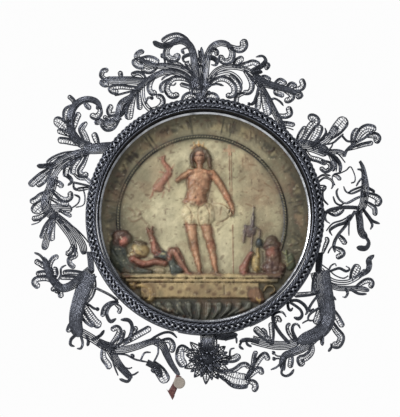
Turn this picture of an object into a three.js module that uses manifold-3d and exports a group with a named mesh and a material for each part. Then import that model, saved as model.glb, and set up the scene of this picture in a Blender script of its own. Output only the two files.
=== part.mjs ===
// A round painted wax relief in a silver case, framed by openwork foliage of silver wire.
// Millimetres. It hangs upright, with X to the right, Z up and its face looking along -Y.
// The flat back of the case lies in the plane y = 0 and the origin is at its centre.
// Depth is counted forward from that back, so a depth d lies at y = -d.

import * as THREE from 'three';
import Module from 'manifold-3d';
import { mergeVertices } from 'three/addons/utils/BufferGeometryUtils.js';

const wasm = await Module();
wasm.setup();

// Driving dimensions
const CASE_RADIUS = 54;
const CASE_DEPTH = 12.4;
const CASE_WALL = 0.8;
const GAP = 0.3; // left between touching pieces
const WAX_FACE = 4.2; // depth of the plain ground of the relief
const WAX_SHOWN_RADIUS = 51.6;
const BEZEL_WIDTH = 1;
const BEZEL_DEPTH = 1.1;
const BORDER_INNER = CASE_RADIUS + GAP;
const BORDER_OUTER = 59.7;
const BORDER_BACK = 6;
const BORDER_RIDGES = 37;
const RIDGE_RELIEF = 0.8;
const SPRAY_BACK = 3.2; // depth of the back of the foliage
const LEAF_THICKNESS = 1.5;
const ROUND_STEPS = 40;
const BEND_PER_STEP = 62; // degrees that a curve may turn in one step
const LONGEST_STEP = 20;

const SILVER = new THREE.MeshStandardMaterial({ color: 0x6c7079, roughness: 0.42, metalness: 0.9 });
const BRIGHT_SILVER = new THREE.MeshStandardMaterial({ color: 0x9a9ca0, roughness: 0.3, metalness: 0.9 });
const WAX = new THREE.MeshStandardMaterial({ color: 0xada07b, roughness: 0.55, metalness: 0 });
const CARD = new THREE.MeshStandardMaterial({ color: 0x978d83, roughness: 0.8, metalness: 0 });
const LACQUER = new THREE.MeshStandardMaterial({ color: 0x4a2326, roughness: 0.5, metalness: 0 });

// Solids

function solid(geometry) {
  const bare = geometry.clone();
  bare.deleteAttribute('normal');
  bare.deleteAttribute('uv');
  const merged = mergeVertices(bare, 1e-4);
  const index = Array.from(merged.index.array);
  const faces = [];
  for (let i = 0; i < index.length; i += 3) {
    const [a, b, c] = index.slice(i, i + 3);
    if (a !== b && b !== c && c !== a) faces.push(a, b, c);
  }
  const mesh = new wasm.Mesh({
    numProp: 3,
    vertProperties: Float32Array.from(merged.attributes.position.array),
    triVerts: Uint32Array.from(faces),
  });
  return new wasm.Manifold(mesh);
}

function joined(solids) {
  return solids.reduce((whole, next) => whole.add(next));
}

function piece(name, body, material) {
  const { vertProperties, triVerts } = body.getMesh();
  const geometry = new THREE.BufferGeometry();
  geometry.setAttribute('position', new THREE.BufferAttribute(Float32Array.from(vertProperties), 3));
  geometry.setIndex(Array.from(triVerts));
  geometry.computeVertexNormals();
  const mesh = new THREE.Mesh(geometry, material);
  mesh.name = name;
  return mesh;
}

// Turned about the medallion's axis: profile points are [radius, depth], run from the back outwards
// and forward, and close on themselves.
function turned(profile, steps = ROUND_STEPS) {
  const points = profile.map(([radius, depth]) => new THREE.Vector2(radius, -depth)).reverse();
  points.push(points[0].clone());
  return new THREE.LatheGeometry(points, steps);
}

// A flat plate cut to a shape drawn in x and z, lying from one depth to another.
function plate(shape, back, front, curveSegments = 8) {
  const geometry = new THREE.ExtrudeGeometry(shape, {
    depth: front - back, bevelEnabled: false, curveSegments,
  });
  geometry.rotateX(Math.PI / 2);
  geometry.translate(0, -back, 0);
  return geometry;
}

function pairs(flat) {
  const points = [];
  for (let i = 0; i < flat.length; i += 2) points.push(new THREE.Vector2(flat[i], flat[i + 1]));
  return points;
}

function stepsFor(curve) {
  let turn = 0;
  let before = curve.getTangentAt(0);
  for (let i = 1; i <= 24; i += 1) {
    const tangent = curve.getTangentAt(i / 24);
    turn += Math.abs(Math.atan2(before.cross(tangent), before.dot(tangent)));
    before = tangent;
  }
  const bends = THREE.MathUtils.radToDeg(turn) / BEND_PER_STEP;
  const least = curve.points?.length === 2 ? 1 : 2;
  return Math.max(least, Math.ceil(bends), Math.ceil(curve.getLength() / LONGEST_STEP));
}

// A section swept along a curve in the x-z plane. Section x becomes width and section y depth.
function swept(section, curve, { width, back, thick, tip = 0.5, steps = stepsFor(curve) }) {
  const geometry = new THREE.ExtrudeGeometry(section, { steps, depth: 1, bevelEnabled: false });
  const position = geometry.attributes.position;
  const [rootWidth, tipWidth] = Array.isArray(width) ? width : [width, width];
  for (let i = 0; i < position.count; i += 1) {
    const t = position.getZ(i);
    const centre = curve.getPointAt(t);
    const tangent = curve.getTangentAt(t);
    const taper = 1 - (1 - tip) * t ** 6;
    const across = position.getX(i) * THREE.MathUtils.lerp(rootWidth, tipWidth, t) * taper;
    const depth = back + position.getY(i) * thick;
    position.setXYZ(i, centre.x - tangent.y * across, -depth, centre.y + tangent.x * across);
  }
  return geometry;
}

function polygon(corners) {
  return new THREE.Shape(corners.map(([x, y]) => new THREE.Vector2(x, y)));
}

const FLAT = polygon([[-0.5, 0], [0.5, 0], [0.5, 1], [-0.5, 1]]);
const ROUNDED = polygon([[-0.5, -0.3], [0.5, -0.3], [0, 1]]);

// A rounded form with its flat side a little below the ground it rises from.
function dome(x, z, radiusX, radiusZ, height, base, turn = 0) {
  const geometry = new THREE.SphereGeometry(1, 6, 4);
  const position = geometry.attributes.position;
  for (let i = 0; i < position.count; i += 1) position.setY(i, Math.min(position.getY(i), 0.2));
  geometry.scale(radiusX, height, radiusZ);
  geometry.rotateY(THREE.MathUtils.degToRad(turn));
  geometry.translate(x, -base, z);
  return geometry;
}

// Foliage
// A row is one leaf, stem or curl of flat wire: [width or [root width, tip width], [x, z, x, z ...]],
// with the points running from its root to its tip. The curve runs smoothly through them.

const CREST = [
  [[6, 5.2], [-2.3, 57, -2.2, 60, -2, 63]],
  [3.9, [-2.3, 61, -4, 65, -5.2, 70]],
  [3.2, [-1.8, 61, -0.3, 64.5, 2, 68.5]],
  [[4.1, 6.5], [-1.2, 64, -1.6, 70, -2, 77]],
  [[6.5, 1.6], [-2, 75.5, -1.8, 81, -1.8, 86]],
  [[4.2, 3.1], [-4, 69, -5.2, 76, -5.7, 82, -8, 87.3, -12.5, 89.4, -18, 87.7]],
  [2.9, [-7, 87.5, -10, 90.8, -14, 92.3, -18.5, 91, -21.5, 88.5]],
  [3, [-16.5, 88, -21, 86.8, -23.5, 87.3, -26.2, 88.7]],
  [4, [-16, 88, -19, 85.5, -19.3, 82, -17, 79.8, -14.5, 80.2, -14.2, 82.5]],
  [[3.9, 2.9], [-3.5, 67.5, -8, 72.8, -13, 75.3, -19, 76.3, -25, 76.5, -29.5, 77.5, -33, 80]],
  [[3.4, 2.9],
    [-3.5, 66, -9, 71, -14, 73.3, -19.5, 73.6, -25, 71.5, -31, 67.3, -36.5, 61.5, -40.5, 54, -43, 50.3]],
  [3.2, [-3.5, 64, -8, 69, -13, 70.4, -17, 69.3, -19.2, 65, -17.5, 61.5, -15, 61.1, -13.7, 62.4]],
  [3.2, [-3.2, 58.3, -5, 61.2, -8, 61.8, -10.2, 60, -10.3, 57.6]],
  [[3.9, 3.1], [-0.5, 66, 0.3, 74, 1.3, 81, 3.5, 86, 7, 88.2, 10.5, 88, 13.5, 86.3]],
  [4.5, [12, 87.3, 15.5, 85.4, 18.3, 85.2, 19.8, 87, 19, 89.8]],
  [4, [11.5, 87.5, 13.8, 84, 13.2, 80, 10.5, 78.6, 8.3, 79.8, 9, 81.5]],
  [2.7, [0.8, 80.8, 4, 80.8, 6.1, 79, 5.5, 77, 3.4, 77.2]],
  [2.9, [0.8, 66.8, 5, 73.3, 9.5, 75.8, 14.5, 76.2, 20, 75.2, 24, 73, 26.8, 69.5]],
  [2.3, [1.2, 67.3, 6, 71.6, 11, 72.9, 15, 71.5, 17.7, 68.5, 18, 66.3]],
  [3.2, [-0.5, 63.8, 4, 68.3, 8, 70, 11.5, 69.2, 14.5, 66, 14.6, 62.6, 12.8, 61, 10.7, 61.6]],
  [3.2, [15.5, 76.2, 19, 77.2, 22, 77.9, 24.5, 78.5, 27.5, 77]],
  [3, [23.3, 73.6, 26, 75.3, 29, 77, 30.8, 79.5, 29.3, 81.8, 26, 81.3]],
  [[5.2, 2.6], [24.5, 71.5, 30, 68, 36, 66, 42, 64.5, 46.5, 62.8]],
  [3.2, [42.5, 64.3, 48, 65, 49.5, 67, 48.3, 69.6]],
  [3.2, [26, 69.8, 29, 65, 32, 59.5, 34.5, 54.5, 37.5, 48.8, 40.6, 43]],
  [3.2, [35.8, 52, 40, 51, 42.8, 52.2, 41.8, 55.5]],
  [4.8, [29.2, 64.5, 30.3, 60, 31, 56, 32, 51]],
  [2.9, [19.5, 75, 22.6, 70.5, 23.8, 66.5, 22.5, 63.3, 19.3, 62.8]],
  [4.3, [-30, 68.3, -36, 69, -42, 69, -47, 69, -50.5, 69.3]],
  [3.2, [-33, 65.3, -38, 65.3, -43, 65.6, -47.3, 64.6, -46, 62.9, -43.7, 63]],
  [3.2, [-37, 60.5, -41.8, 57.5, -43.3, 53.5, -43.8, 50]],
  [3.2, [-42.6, 50.6, -47, 47.6, -50.5, 46.8, -53, 48, -55.5, 47]],
  [4.5, [-35.5, 62.3, -37.3, 56.5, -38, 52, -38.5, 48.6]],
  [2.3, [-31.5, 66.8, -31.3, 60.5, -29.5, 56, -26, 53]],
  [2.9, [-28, 54.2, -23.5, 55, -21.2, 57.8, -22.2, 60.3, -24.5, 60.5]],
];

const LEFT = [
  [[6.5, 5.9], [-45, 34.8, -50, 34.5, -56, 34, -61, 34.5]],
  [[4.9, 2.9],
    [-57.5, 34.8, -64, 38, -67, 43, -67.8, 49, -66.3, 54.5, -62.8, 58.2, -58.5, 59.3, -54.5, 58, -52.3, 54.5]],
  [3.5, [-52.8, 55.8, -53, 52, -55.3, 50.2, -57.3, 51.5]],
  [4.8, [-65.8, 56, -69.3, 53, -69, 47.5]],
  [5.8, [-62, 36.8, -69, 43.5, -73, 47, -75.8, 48]],
  [3.5, [-62.5, 36, -69, 37.8, -73.7, 38]],
  [[5.6, 2.4], [-58, 35, -60.8, 41, -62, 44, -59.3, 47]],
  [[3.9, 3.2], [-58, 33, -66, 31, -72.5, 28, -78, 23.5]],
  [2.7, [-75, 26.2, -80.5, 25, -84, 25]],
  [4, [-76.5, 24.6, -82, 20.3, -85.5, 17, -87.5, 14.8]],
  [2.9, [-76.8, 23.5, -80.5, 17.7, -84, 14.8]],
  [2.9, [-58.5, 32.6, -68, 28, -73, 24, -76, 19, -77, 14]],
  [3.2, [-66, 28.8, -69.3, 24, -69.5, 19.5]],
  [3.2, [-61.5, 30.5, -65.6, 25, -66, 20.7]],
  [2.9, [-58.5, 32, -60.8, 26.5, -62.8, 22.5, -60.8, 20.3, -58.7, 21.3]],
  [2.2, [-57.5, 15, -62, 16, -66.8, 17]],
  [5.2, [-76, 20, -77, 14, -79, 9, -79.3, 4, -76.5, 0.5, -75, -1]],
  [2.9, [-77, 13.5, -72.5, 9.2, -69.5, 8, -67.3, 9.3, -67.6, 12]],
  [3.9, [-78, 4.2, -71, 3.5, -66.5, 3.8]],
  [6.4, [-78.5, 8.5, -83, 4.3, -85.6, 1.2]],
  [3.6, [-75.8, 0, -78, -8, -80.2, -17]],
  [2.9, [-76, 0.8, -70.5, -6, -66.5, -11.8, -64.5, -18]],
  [[3.2, 3.9], [-75.5, 1, -68, -5.3, -63.3, -11, -61.4, -14.4, -61.2, -17.6]],
  [2.6, [-64.9, -16.3, -64.3, -20, -67.3, -21.7, -67, -24.3, -64.7, -26.2]],
];

const LOWER_LEFT = [
  [4.1, [-57.6, -18, -57, -22, -56.4, -29]],
  [[5.2, 3.2], [-57, -27.5, -62, -31.5, -67, -35.3, -71.3, -36.2, -74.8, -33.3, -77.5, -28.8, -80.3, -20.8]],
  [3.2, [-74, -34, -78.5, -31.6, -83.3, -31.8, -84.7, -33.7, -82.3, -36]],
  [2.6, [-76.7, -29.8, -77.2, -25, -75.7, -21.7, -73, -20.6]],
  [2.6, [-58.5, -29, -67, -28.3, -70.5, -29]],
  [[7, 6.5], [-57.8, -29, -60.5, -37, -62.7, -44, -64, -50, -63.8, -56, -61.5, -60]],
  [4.8, [-61.5, -42.5, -58.3, -48, -54.7, -53, -51.7, -55.2]],
  [3.9, [-63.3, -57, -58, -60, -54, -62.5, -50, -65, -45, -66.5]],
  [5.4, [-53, -62.8, -49, -64.5, -44.5, -65.5]],
  [2.9, [-47.5, -65, -44, -60.8, -42.4, -57.6, -43.9, -55.9, -46.4, -57.3]],
  [2.4, [-39.5, -64, -37, -59.5, -36.2, -55, -38, -52.2, -41.7, -52]],
  [3.5, [-45, -66, -37.5, -61.8, -31.5, -58.5, -27, -56]],
  [[3.9, 2.9], [-46.5, -66.5, -40, -66.8, -33, -65, -27.5, -63, -22.5, -62.3]],
  [[4.5, 1.8], [-24.5, -62.3, -20.8, -65, -19, -69, -16.5, -74, -12.7, -79.5]],
  [3.2, [-22.5, -62.7, -17.8, -62.2, -16, -65, -17, -68]],
  [[4.5, 3.1], [-48, -65, -45, -70.5, -41.5, -75.5, -36.3, -81]],
  [3.2, [-50.3, -64.5, -50.3, -70.5, -48, -74, -47, -76.3]],
  [1.5, [-46, -69, -39.5, -69.2, -34.5, -71.6, -28, -73]],
  [4.1, [-28.8, -73, -26, -74.5, -23, -77, -22, -80.5]],
  [6.4, [-26, -73, -22, -78, -19, -83]],
  [2.2, [-43.3, -42.3, -48, -39.2, -55.2, -35.8]],
  [2.2, [-43, -42.8, -47.3, -43.9, -50, -46.5, -50.8, -50.5]],
];

const LOWER_RIGHT = [
  [4.1, [57.6, -18, 57.1, -22, 56.6, -28.5]],
  [[8, 6.5], [57.5, -27.5, 59, -36, 60.5, -44, 61, -50, 59.5, -55, 56, -58.5, 51, -60.8, 46, -62.8]],
  [4.5, [23.5, -61.7, 29, -63.3, 35, -64.5, 41, -64.3, 47, -62.2]],
  [3.8, [34, -64, 30, -60.3, 27, -58, 24.7, -55.8]],
  [2.9, [33.5, -63.5, 33.3, -58, 32.7, -53.3]],
  [2.2, [42, -63.5, 37.5, -58.5, 34.7, -54, 33.8, -50.3, 35.5, -48.3, 38.5, -48, 40.3, -50.3]],
  [2, [45.8, -62, 43.6, -57.5, 44, -54.5, 46, -54, 47.3, -56]],
  [3.2, [62.3, -45, 65.8, -50.5, 68.3, -55.5]],
  [4, [61.3, -50, 65, -56.5, 67.7, -60.5, 66, -64.3, 63, -64]],
  [[4.5, 3.2], [57, -58.5, 50, -65, 45, -67.5, 40, -69.5, 38.5, -73, 39, -77]],
  [4, [53, -62.3, 53, -67.3, 50, -70.5, 47.2, -71.5, 48.5, -74.7]],
  [2, [38.9, -74.5, 38, -78.3, 40, -79.7, 42.5, -78.7, 44, -76.5]],
  [2.4, [58, -37.3, 54, -38.5, 44.5, -39.6]],
  [4, [58.7, -42.5, 56.8, -49, 54.8, -54]],
  [2.4, [42, -42.9, 45, -44.8, 47.6, -47, 48.3, -49.6, 46.7, -51.3, 44.3, -50.7]],
  [2.3, [58, -26.5, 62, -31.3, 66, -33, 71, -33, 75, -31.2, 78, -29, 80, -26.5]],
  [3.4, [76.5, -30, 81, -27.5, 82.2, -24.5, 82, -21.7, 84.4, -19.3]],
  [4.8, [73, -32, 75, -27.5, 76.7, -24.3]],
  [2.6, [58.5, -32, 65, -35.6, 71, -36.2, 76.5, -36, 82, -37]],
  [2.9, [75, -35.8, 79.5, -32.7, 82.3, -32.2, 83.2, -33.8, 82, -35.8]],
  [2.7, [60, -35, 63, -39.5, 65.3, -41.8]],
];

const RIGHT = [
  [[1.6, 6.1], [78, 28.3, 79.5, 25, 80.2, 20, 80.5, 15, 80.3, 10]],
  [[6.5, 5.4], [80.4, 13, 79.3, 6, 76.5, 2]],
  [1.9, [80, 14.5, 77, 13, 73.5, 11.7, 70.8, 12.7, 69.7, 15.1]],
  [2.2, [79, 10.5, 76, 9.3, 71, 6.8, 67.5, 8.5, 66, 12, 66.8, 14]],
  [2.2, [77.5, 4.3, 74, 4.7, 68, 4.5, 62, 3, 60.2, 0.5, 60.6, -2, 62.5, -3.5]],
  [3.4, [57.3, 1.2, 63, 1.8]],
  [3.2, [61.8, 2.6, 65, 1.5, 67.5, 2.5, 69, 4.6]],
  [1.6, [81.3, 15, 84.8, 12.9, 84, 11.5]],
  [3.5, [81, 12, 86, 10, 87.4, 7.7, 85.5, 6]],
  [2.6, [80, 8, 84.8, 4.5, 85, 0.5]],
  [2.2, [75.5, 3, 70.5, -4.5, 66.5, -9.5, 64.5, -14, 65, -18]],
  [2.9, [64.6, -15.5, 68, -17, 68.7, -19, 65.5, -20.8]],
  [4.1, [77, 3, 77.7, -2, 78.3, -7.5, 81, -10.8]],
  [3.2, [80, -9.5, 82, -13, 80.3, -16, 76, -15.5]],
];

const UPPER_RIGHT = [
  [5.9, [45.5, 36.5, 52, 36, 57, 34.5, 62, 32.5]],
  [3.9, [53.5, 35.3, 60, 38, 64, 42, 66.5, 46]],
  [6.5, [62.5, 40, 67.5, 45.5, 71, 49.8]],
  [1.8, [58, 36.5, 64, 37.3, 67, 39.5, 69.7, 42]],
  [3.2, [46.3, 37.8, 48.5, 42, 51, 45.3]],
  [4.8, [49, 37, 53, 45, 56, 48.3, 54.3, 50, 52, 49.5]],
  [4.8, [52.5, 36, 56.5, 42, 57.8, 46.3]],
  [2.6, [57, 34, 62, 33, 67, 33, 70.5, 32]],
  [2.2, [70, 30.3, 71.3, 33.5, 74.5, 36.5, 79, 39, 82.5, 41.5, 85, 44]],
  [4.8, [75.5, 37.8, 78.7, 43, 82, 45, 86, 43.8]],
  [3.2, [74.5, 36.5, 75.3, 42, 77.5, 44.3]],
  [4, [81.5, 41, 85.5, 41.3, 87, 39.8, 85.5, 37.5]],
  [2.4, [72, 34, 79, 36.3, 84.5, 37.3]],
  [2.2, [60, 33, 65.5, 30, 68, 26, 67.8, 22]],
  [2.9, [50.3, 34.5, 52.7, 30.3, 57, 28.7, 61, 26.7]],
  [2.4, [58.5, 28.3, 62.7, 27, 63, 24.5, 60.5, 23, 58, 24.8]],
];

const FOOT = [
  [6.5, [1.3, -58.6, 1.3, -68]],
  [4, [8, -71.5, 12, -71.5, 15, -71, 17, -69.2]],
  [4.8, [-7, -68, -11.5, -66, -12.4, -71, -10, -75]],
  [4.1, [4, -59.5, 10, -60.5, 16, -59.3]],
  [6.5, [6, -77.5, 13, -80.5, 18, -81.8, 22, -81.8]],
  [3.2, [20, -82, 24, -83, 25, -85.3, 23.5, -87]],
  [2.9, [20.5, -81.5, 25.3, -74, 28, -70.2, 30, -69.2, 31.3, -72]],
  [2.9, [20.5, -81.8, 24.5, -77.6, 27.3, -76.5, 28, -79]],
];

function leaf([width, flat]) {
  return swept(FLAT, new THREE.SplineCurve(pairs(flat)), { width, back: SPRAY_BACK, thick: LEAF_THICKNESS });
}

// The curved strip behind the border that a spray is soldered to, between two angles in degrees.
function baseStrip(from, to) {
  const [start, end] = [from, to].map(THREE.MathUtils.degToRad);
  const shape = new THREE.Shape();
  shape.absarc(0, 0, BORDER_OUTER + 0.2, start, end, false);
  shape.absarc(0, 0, BORDER_INNER, end, start, true);
  return plate(shape, SPRAY_BACK, SPRAY_BACK + LEAF_THICKNESS, Math.ceil((to - from) / 8));
}

// The room that the case and the border take up, kept free of foliage. The border's room is drawn
// round its outline, so that its flats stay clear too.
const borderReach = (BORDER_OUTER + GAP) / Math.cos(Math.PI / ROUND_STEPS);
const caseRoom = solid(turned([[0, -1], [BORDER_INNER, -1], [BORDER_INNER, 20], [0, 20]]));
const borderRoom = solid(turned([
  [CASE_RADIUS, BORDER_BACK - GAP], [borderReach, BORDER_BACK - GAP], [borderReach, 20], [CASE_RADIUS, 20],
]));

function spray(name, rows, from, to, extra = []) {
  const parts = [baseStrip(from, to), ...rows.map(leaf), ...extra].map(solid);
  return piece(name, joined(parts).subtract(caseRoom).subtract(borderRoom), SILVER);
}

// Foot rosette: pointed petals of two sizes around a raised hub.
const ROSETTE = { x: 1.3, z: -71.6, petals: 10, reach: 11.4, width: 4.8, hub: 3.6, rise: 5 };

function rosette() {
  const { x, z, petals, reach, width, hub, rise } = ROSETTE;
  const parts = [dome(x, z, hub, hub, rise, SPRAY_BACK + 0.2)];
  for (let k = 0; k < petals; k += 1) {
    const angle = (2 * Math.PI * (k + 0.25)) / petals;
    const long = reach * (k % 2 ? 0.88 : 1.05);
    const end = new THREE.Vector2(x + Math.cos(angle) * long, z + Math.sin(angle) * long);
    const curve = new THREE.LineCurve(new THREE.Vector2(x, z), end);
    parts.push(swept(FLAT, curve, { width, back: SPRAY_BACK, thick: LEAF_THICKNESS, tip: 0.2, steps: 2 }));
  }
  return parts;
}

// Case, bezel and border

function silverCase() {
  return solid(turned([
    [0, 0], [CASE_RADIUS, 0], [CASE_RADIUS, CASE_DEPTH], [CASE_RADIUS - CASE_WALL, CASE_DEPTH],
    [CASE_RADIUS - CASE_WALL, CASE_WALL], [0, CASE_WALL],
  ]));
}

function bezel() {
  const outer = CASE_RADIUS - CASE_WALL - GAP;
  const back = WAX_FACE + GAP;
  return solid(turned([[outer - BEZEL_WIDTH, back], [outer, back], [outer, back + BEZEL_DEPTH]]));
}

function ropeBorder() {
  const geometry = turned([
    [BORDER_INNER, BORDER_BACK], [BORDER_OUTER, BORDER_BACK], [BORDER_OUTER - 0.3, 10.6],
    [57, 13.3], [BORDER_INNER, 12],
  ], 2 * BORDER_RIDGES);
  const position = geometry.attributes.position;
  for (let i = 0; i < position.count; i += 1) {
    const turn = Math.atan2(position.getZ(i), position.getX(i)) / (Math.PI / BORDER_RIDGES);
    const valley = Math.abs(Math.round(turn)) % 2 === 1;
    const front = position.getY(i) < -BORDER_BACK - 1;
    if (valley && front) position.setY(i, position.getY(i) + RIDGE_RELIEF);
  }
  return solid(geometry);
}

// The relief: strokes and domes that rise from the ground of the wax.

function stroke(flat, width, height, base = WAX_FACE) {
  return swept(ROUNDED, new THREE.SplineCurve(pairs(flat)), { width, back: base, thick: height, tip: 0.7 });
}

function bump(x, z, radiusX, radiusZ, height, turn = 0) {
  return dome(x, z, radiusX, radiusZ, height, WAX_FACE, turn);
}

function block(x0, x1, z0, z1, height, base = WAX_FACE) {
  return plate(polygon([[x0, z0], [x1, z0], [x1, z1], [x0, z1]]), base - 0.5, base + height);
}

function standingFigure() {
  return [
    bump(-2.9, 29.9, 2.9, 3.9, 2.9),
    bump(-2.9, 32.6, 3.7, 2.9, 2.3),
    stroke([-5.4, 32.5, -6.2, 29.5, -5.6, 26.6], 2, 1.9),
    stroke([-0.4, 33, 1, 30, 2.2, 26.6], [2.2, 2.6], 1.9),
    stroke([-2.8, 27, -2.6, 24], 3.6, 2),
    stroke([-2.4, 25.2, -3.2, 21.5, -3.4, 16, -4.2, 10.5, -4.4, 7], [13.4, 11], 2.6),
    bump(-4.2, 8.2, 5.9, 3.4, 2.3),
    stroke([-8.2, 23, -11, 20.6, -13.6, 18.2], [3.6, 2.2], 2),
    stroke([3.8, 22.6, 6.6, 17.6, 9.6, 12.4, 12.4, 7, 13.8, 3.4, 13, 0.6], [4.4, 2.3], 2.1),
    stroke([-9.8, 4.5, -4, 1.4, 2.4, 2.8], [6.5, 6], 2.6),
    stroke([-7.6, 1, -7, -4.4], 6.2, 2.3),
    stroke([-1.5, 1.4, 0.6, -4.4], 6.2, 2.4),
    stroke([1.2, 3.4, 5.4, -0.6, 6.6, -3.2], [3, 1.4], 1.5),
    stroke([-7.4, -2.5, -6.2, -14, -5, -17, -3.7, -25, -2.9, -28.8], [5, 2.6], 2.5),
    stroke([0.6, -3, 2.4, -14, 3.4, -18, 4.6, -26, 5.2, -28.8], [4.9, 2.6], 2.6),
    bump(-3.6, -28.7, 2.4, 1.1, 2.6),
    bump(5.8, -29.2, 2.6, 1.2, 2.8),
    stroke([-21.4, 29.6, -19.8, 26.5, -17.6, 23.4, -18.8, 20], [2.4, 4], 1.5),
    stroke([-18.6, 21, -21.8, 17.2, -24.2, 13.2], [3.6, 5], 1.6),
    stroke([12.3, 36, 13.3, 2, 14.3, -28.6], 1.1, 1.1),
    stroke([9.4, 33.5, 15.2, 33.4], 0.9, 1.3),
  ];
}

function leftSoldier() {
  return [
    bump(-40.9, -12, 4.3, 4.6, 3.2),
    bump(-42.6, -9.4, 3.6, 2.6, 3.4),
    stroke([-44.6, -14, -43, -21, -38.5, -26.4], [5, 9], 2),
    stroke([-40, -22.5, -36, -27.2, -28, -27.6], [8, 2.6], 1.6),
    bump(-32.4, -17.6, 5, 3.6, 2.8, -20),
    stroke([-25.2, -18, -26, -12.6, -27.2, -7.6], [3.8, 2.6], 2.4),
    bump(-27.2, -7.4, 2, 1.9, 2.6),
    stroke([-36.4, -21.6, -30, -24.2, -24.5, -22.9, -19.4, -24.4], [3.4, 2.8], 2.6),
    bump(-21, -19.2, 4.6, 2.6, 2.4),
    stroke([-24, -19.8, -18, -19.6, -15.8, -17.6], [4.4, 4], 2.4),
    stroke([-15.6, -17.4, -12.8, -22, -9.4, -27.6], [4.4, 2.6], 2.6),
    stroke([-16.6, -22.5, -16.4, -28.4], 6, 1.5),
  ];
}

function rightSoldier() {
  return [
    stroke([33, -11.2, 34, -18, 33.4, -28.6], [8, 11], 3),
    bump(33.4, -13.6, 4.6, 3.4, 3.2),
    stroke([29.4, -13, 28.6, -20, 26.6, -28], [3, 4.4], 2),
    bump(27, -13.6, 2, 2.2, 2.2),
    stroke([23, -19.6, 20.4, -22, 18.6, -28.6], [3.4, 4.6], 2.6),
    stroke([20, -27.8, 28, -28, 38, -28.8], 3, 2.4),
    stroke([37, -20, 38, -24.5, 38.6, -28], [3, 4], 1.8),
    stroke([40.2, -17.4, 40.8, -21, 42.4, -26], [1.6, 3], 1.2),
    stroke([24.4, 4.2, 23.9, -5, 23.2, -18], 1, 1.1),
    bump(22.4, -7.6, 3, 3.4, 1.7),
    stroke([24.2, 0.4, 24.2, -4.6], 2.4, 1.4),
  ];
}

const LEDGE = { left: -42.4, right: 38.4, top: -29, frieze: -32.6, foot: -40.4, under: -41.8 };

function ledge() {
  const { left, right, top, frieze, foot, under } = LEDGE;
  return [
    block(left, right, frieze + 1.7, top, 3.4),
    block(left + 2, right - 1.5, frieze, frieze + 1.8, 2.7),
    block(-26, 24, foot, frieze + 0.2, 2),
    block(-26, 24, under, foot + 0.2, 2.8),
    bump(-36.4, -34.2, 2.6, 2.4, 2.6),
    stroke([-33, -35, -28.6, -35.4, -27.4, -39.5, -30.6, -43.6], [3, 2.4], 2.2),
    stroke([29.4, -37.6, 31.8, -34.6, 34.4, -37.2], 1.6, 2),
    bump(26.6, -40.8, 4.2, 3.8, 2.2, -30),
  ];
}

const GADROONS = { from: -26, to: 20, pitch: 5.1, top: -42.4, bottom: -51.5 };

function gadroons() {
  const { from, to, pitch, top, bottom } = GADROONS;
  const parts = [];
  for (let x = from; x <= to; x += pitch) {
    const lean = 1.4 * Math.sign(x + 2);
    const low = Math.max(bottom, -Math.sqrt(50.6 ** 2 - x ** 2));
    parts.push(stroke([x, top, x - lean, low], [pitch, pitch * 0.7], 1.5));
  }
  return parts;
}

const ARCH = { x: -1.5, z: -1.5, radius: 42, width: 1.7, from: -24, to: 186 };

function arch() {
  const { x, z, radius, width, from, to } = ARCH;
  const curve = new THREE.EllipseCurve(
    x, z, radius, radius, THREE.MathUtils.degToRad(from), THREE.MathUtils.degToRad(to));
  return swept(ROUNDED, curve, { width, back: WAX_FACE, thick: 1, tip: 1, steps: 20 });
}

function waxRelief() {
  const face = WAX_SHOWN_RADIUS;
  const back = CASE_WALL + GAP;
  const disc = solid(turned([
    [0, back], [CASE_RADIUS - CASE_WALL - GAP, back], [CASE_RADIUS - CASE_WALL - GAP, WAX_FACE], [0, WAX_FACE],
  ]));
  const raised = joined([
    ...standingFigure(), ...leftSoldier(), ...rightSoldier(), ...ledge(), ...gadroons(),
    arch(),
  ].map(solid));
  const room = solid(turned([[0, 2], [face, 2], [face, 20], [0, 20]]));
  return disc.add(raised.intersect(room));
}

// A small blank tag on a stiff lacquered strip, caught in the foliage at the foot.
const TAG = { x: -12.7, z: -83.2, radius: 2.9, depth: 6, thick: 0.8 };

function tagDisc() {
  const { x, z, radius, depth, thick } = TAG;
  const disc = new THREE.CylinderGeometry(radius, radius, thick, 12);
  return solid(disc.translate(x, -(depth + thick / 2), z));
}

function tagStrip() {
  const { depth } = TAG;
  const strap = plate(polygon([[-14.2, -80.2], [-11.4, -79.2], [-15.8, -88.6], [-19, -88.2]]), depth - 1, depth - GAP);
  const foot = plate(polygon([[-21.3, -89.4], [-16, -90.2], [-15.6, -88.2], [-21, -88]]), depth - 1, depth + 0.1);
  return solid(strap).add(solid(foot));
}

const medallion = new THREE.Group();
medallion.add(
  piece('silver_case', silverCase(), SILVER),
  piece('inner_bezel', bezel(), BRIGHT_SILVER),
  piece('rope_border', ropeBorder(), SILVER),
  piece('wax_relief', waxRelief(), WAX),
  spray('crest_spray', CREST, 45, 135),
  spray('left_spray', LEFT, 138, 195),
  spray('lower_left_spray', LOWER_LEFT, 197, 255),
  spray('foot_rosette', FOOT, 257, 289, rosette()),
  spray('lower_right_spray', LOWER_RIGHT, 292, 346),
  spray('right_spray', RIGHT, 348, 367),
  spray('upper_right_spray', UPPER_RIGHT, 10, 43),
  piece('tag_disc', tagDisc(), CARD),
  piece('tag_strip', tagStrip(), LACQUER),
);

export default medallion;
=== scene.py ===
"""A painted wax relief in a silver case, framed by openwork foliage of silver wire.

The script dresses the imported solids. Sizes in it are millimetres, with x to the right, z up and d the
depth counted forward from the flat back, so that d lies along -y. Meshes are made in metres.
"""

import math
import random

import bpy
import numpy as np
from mathutils import Matrix, Vector


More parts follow.
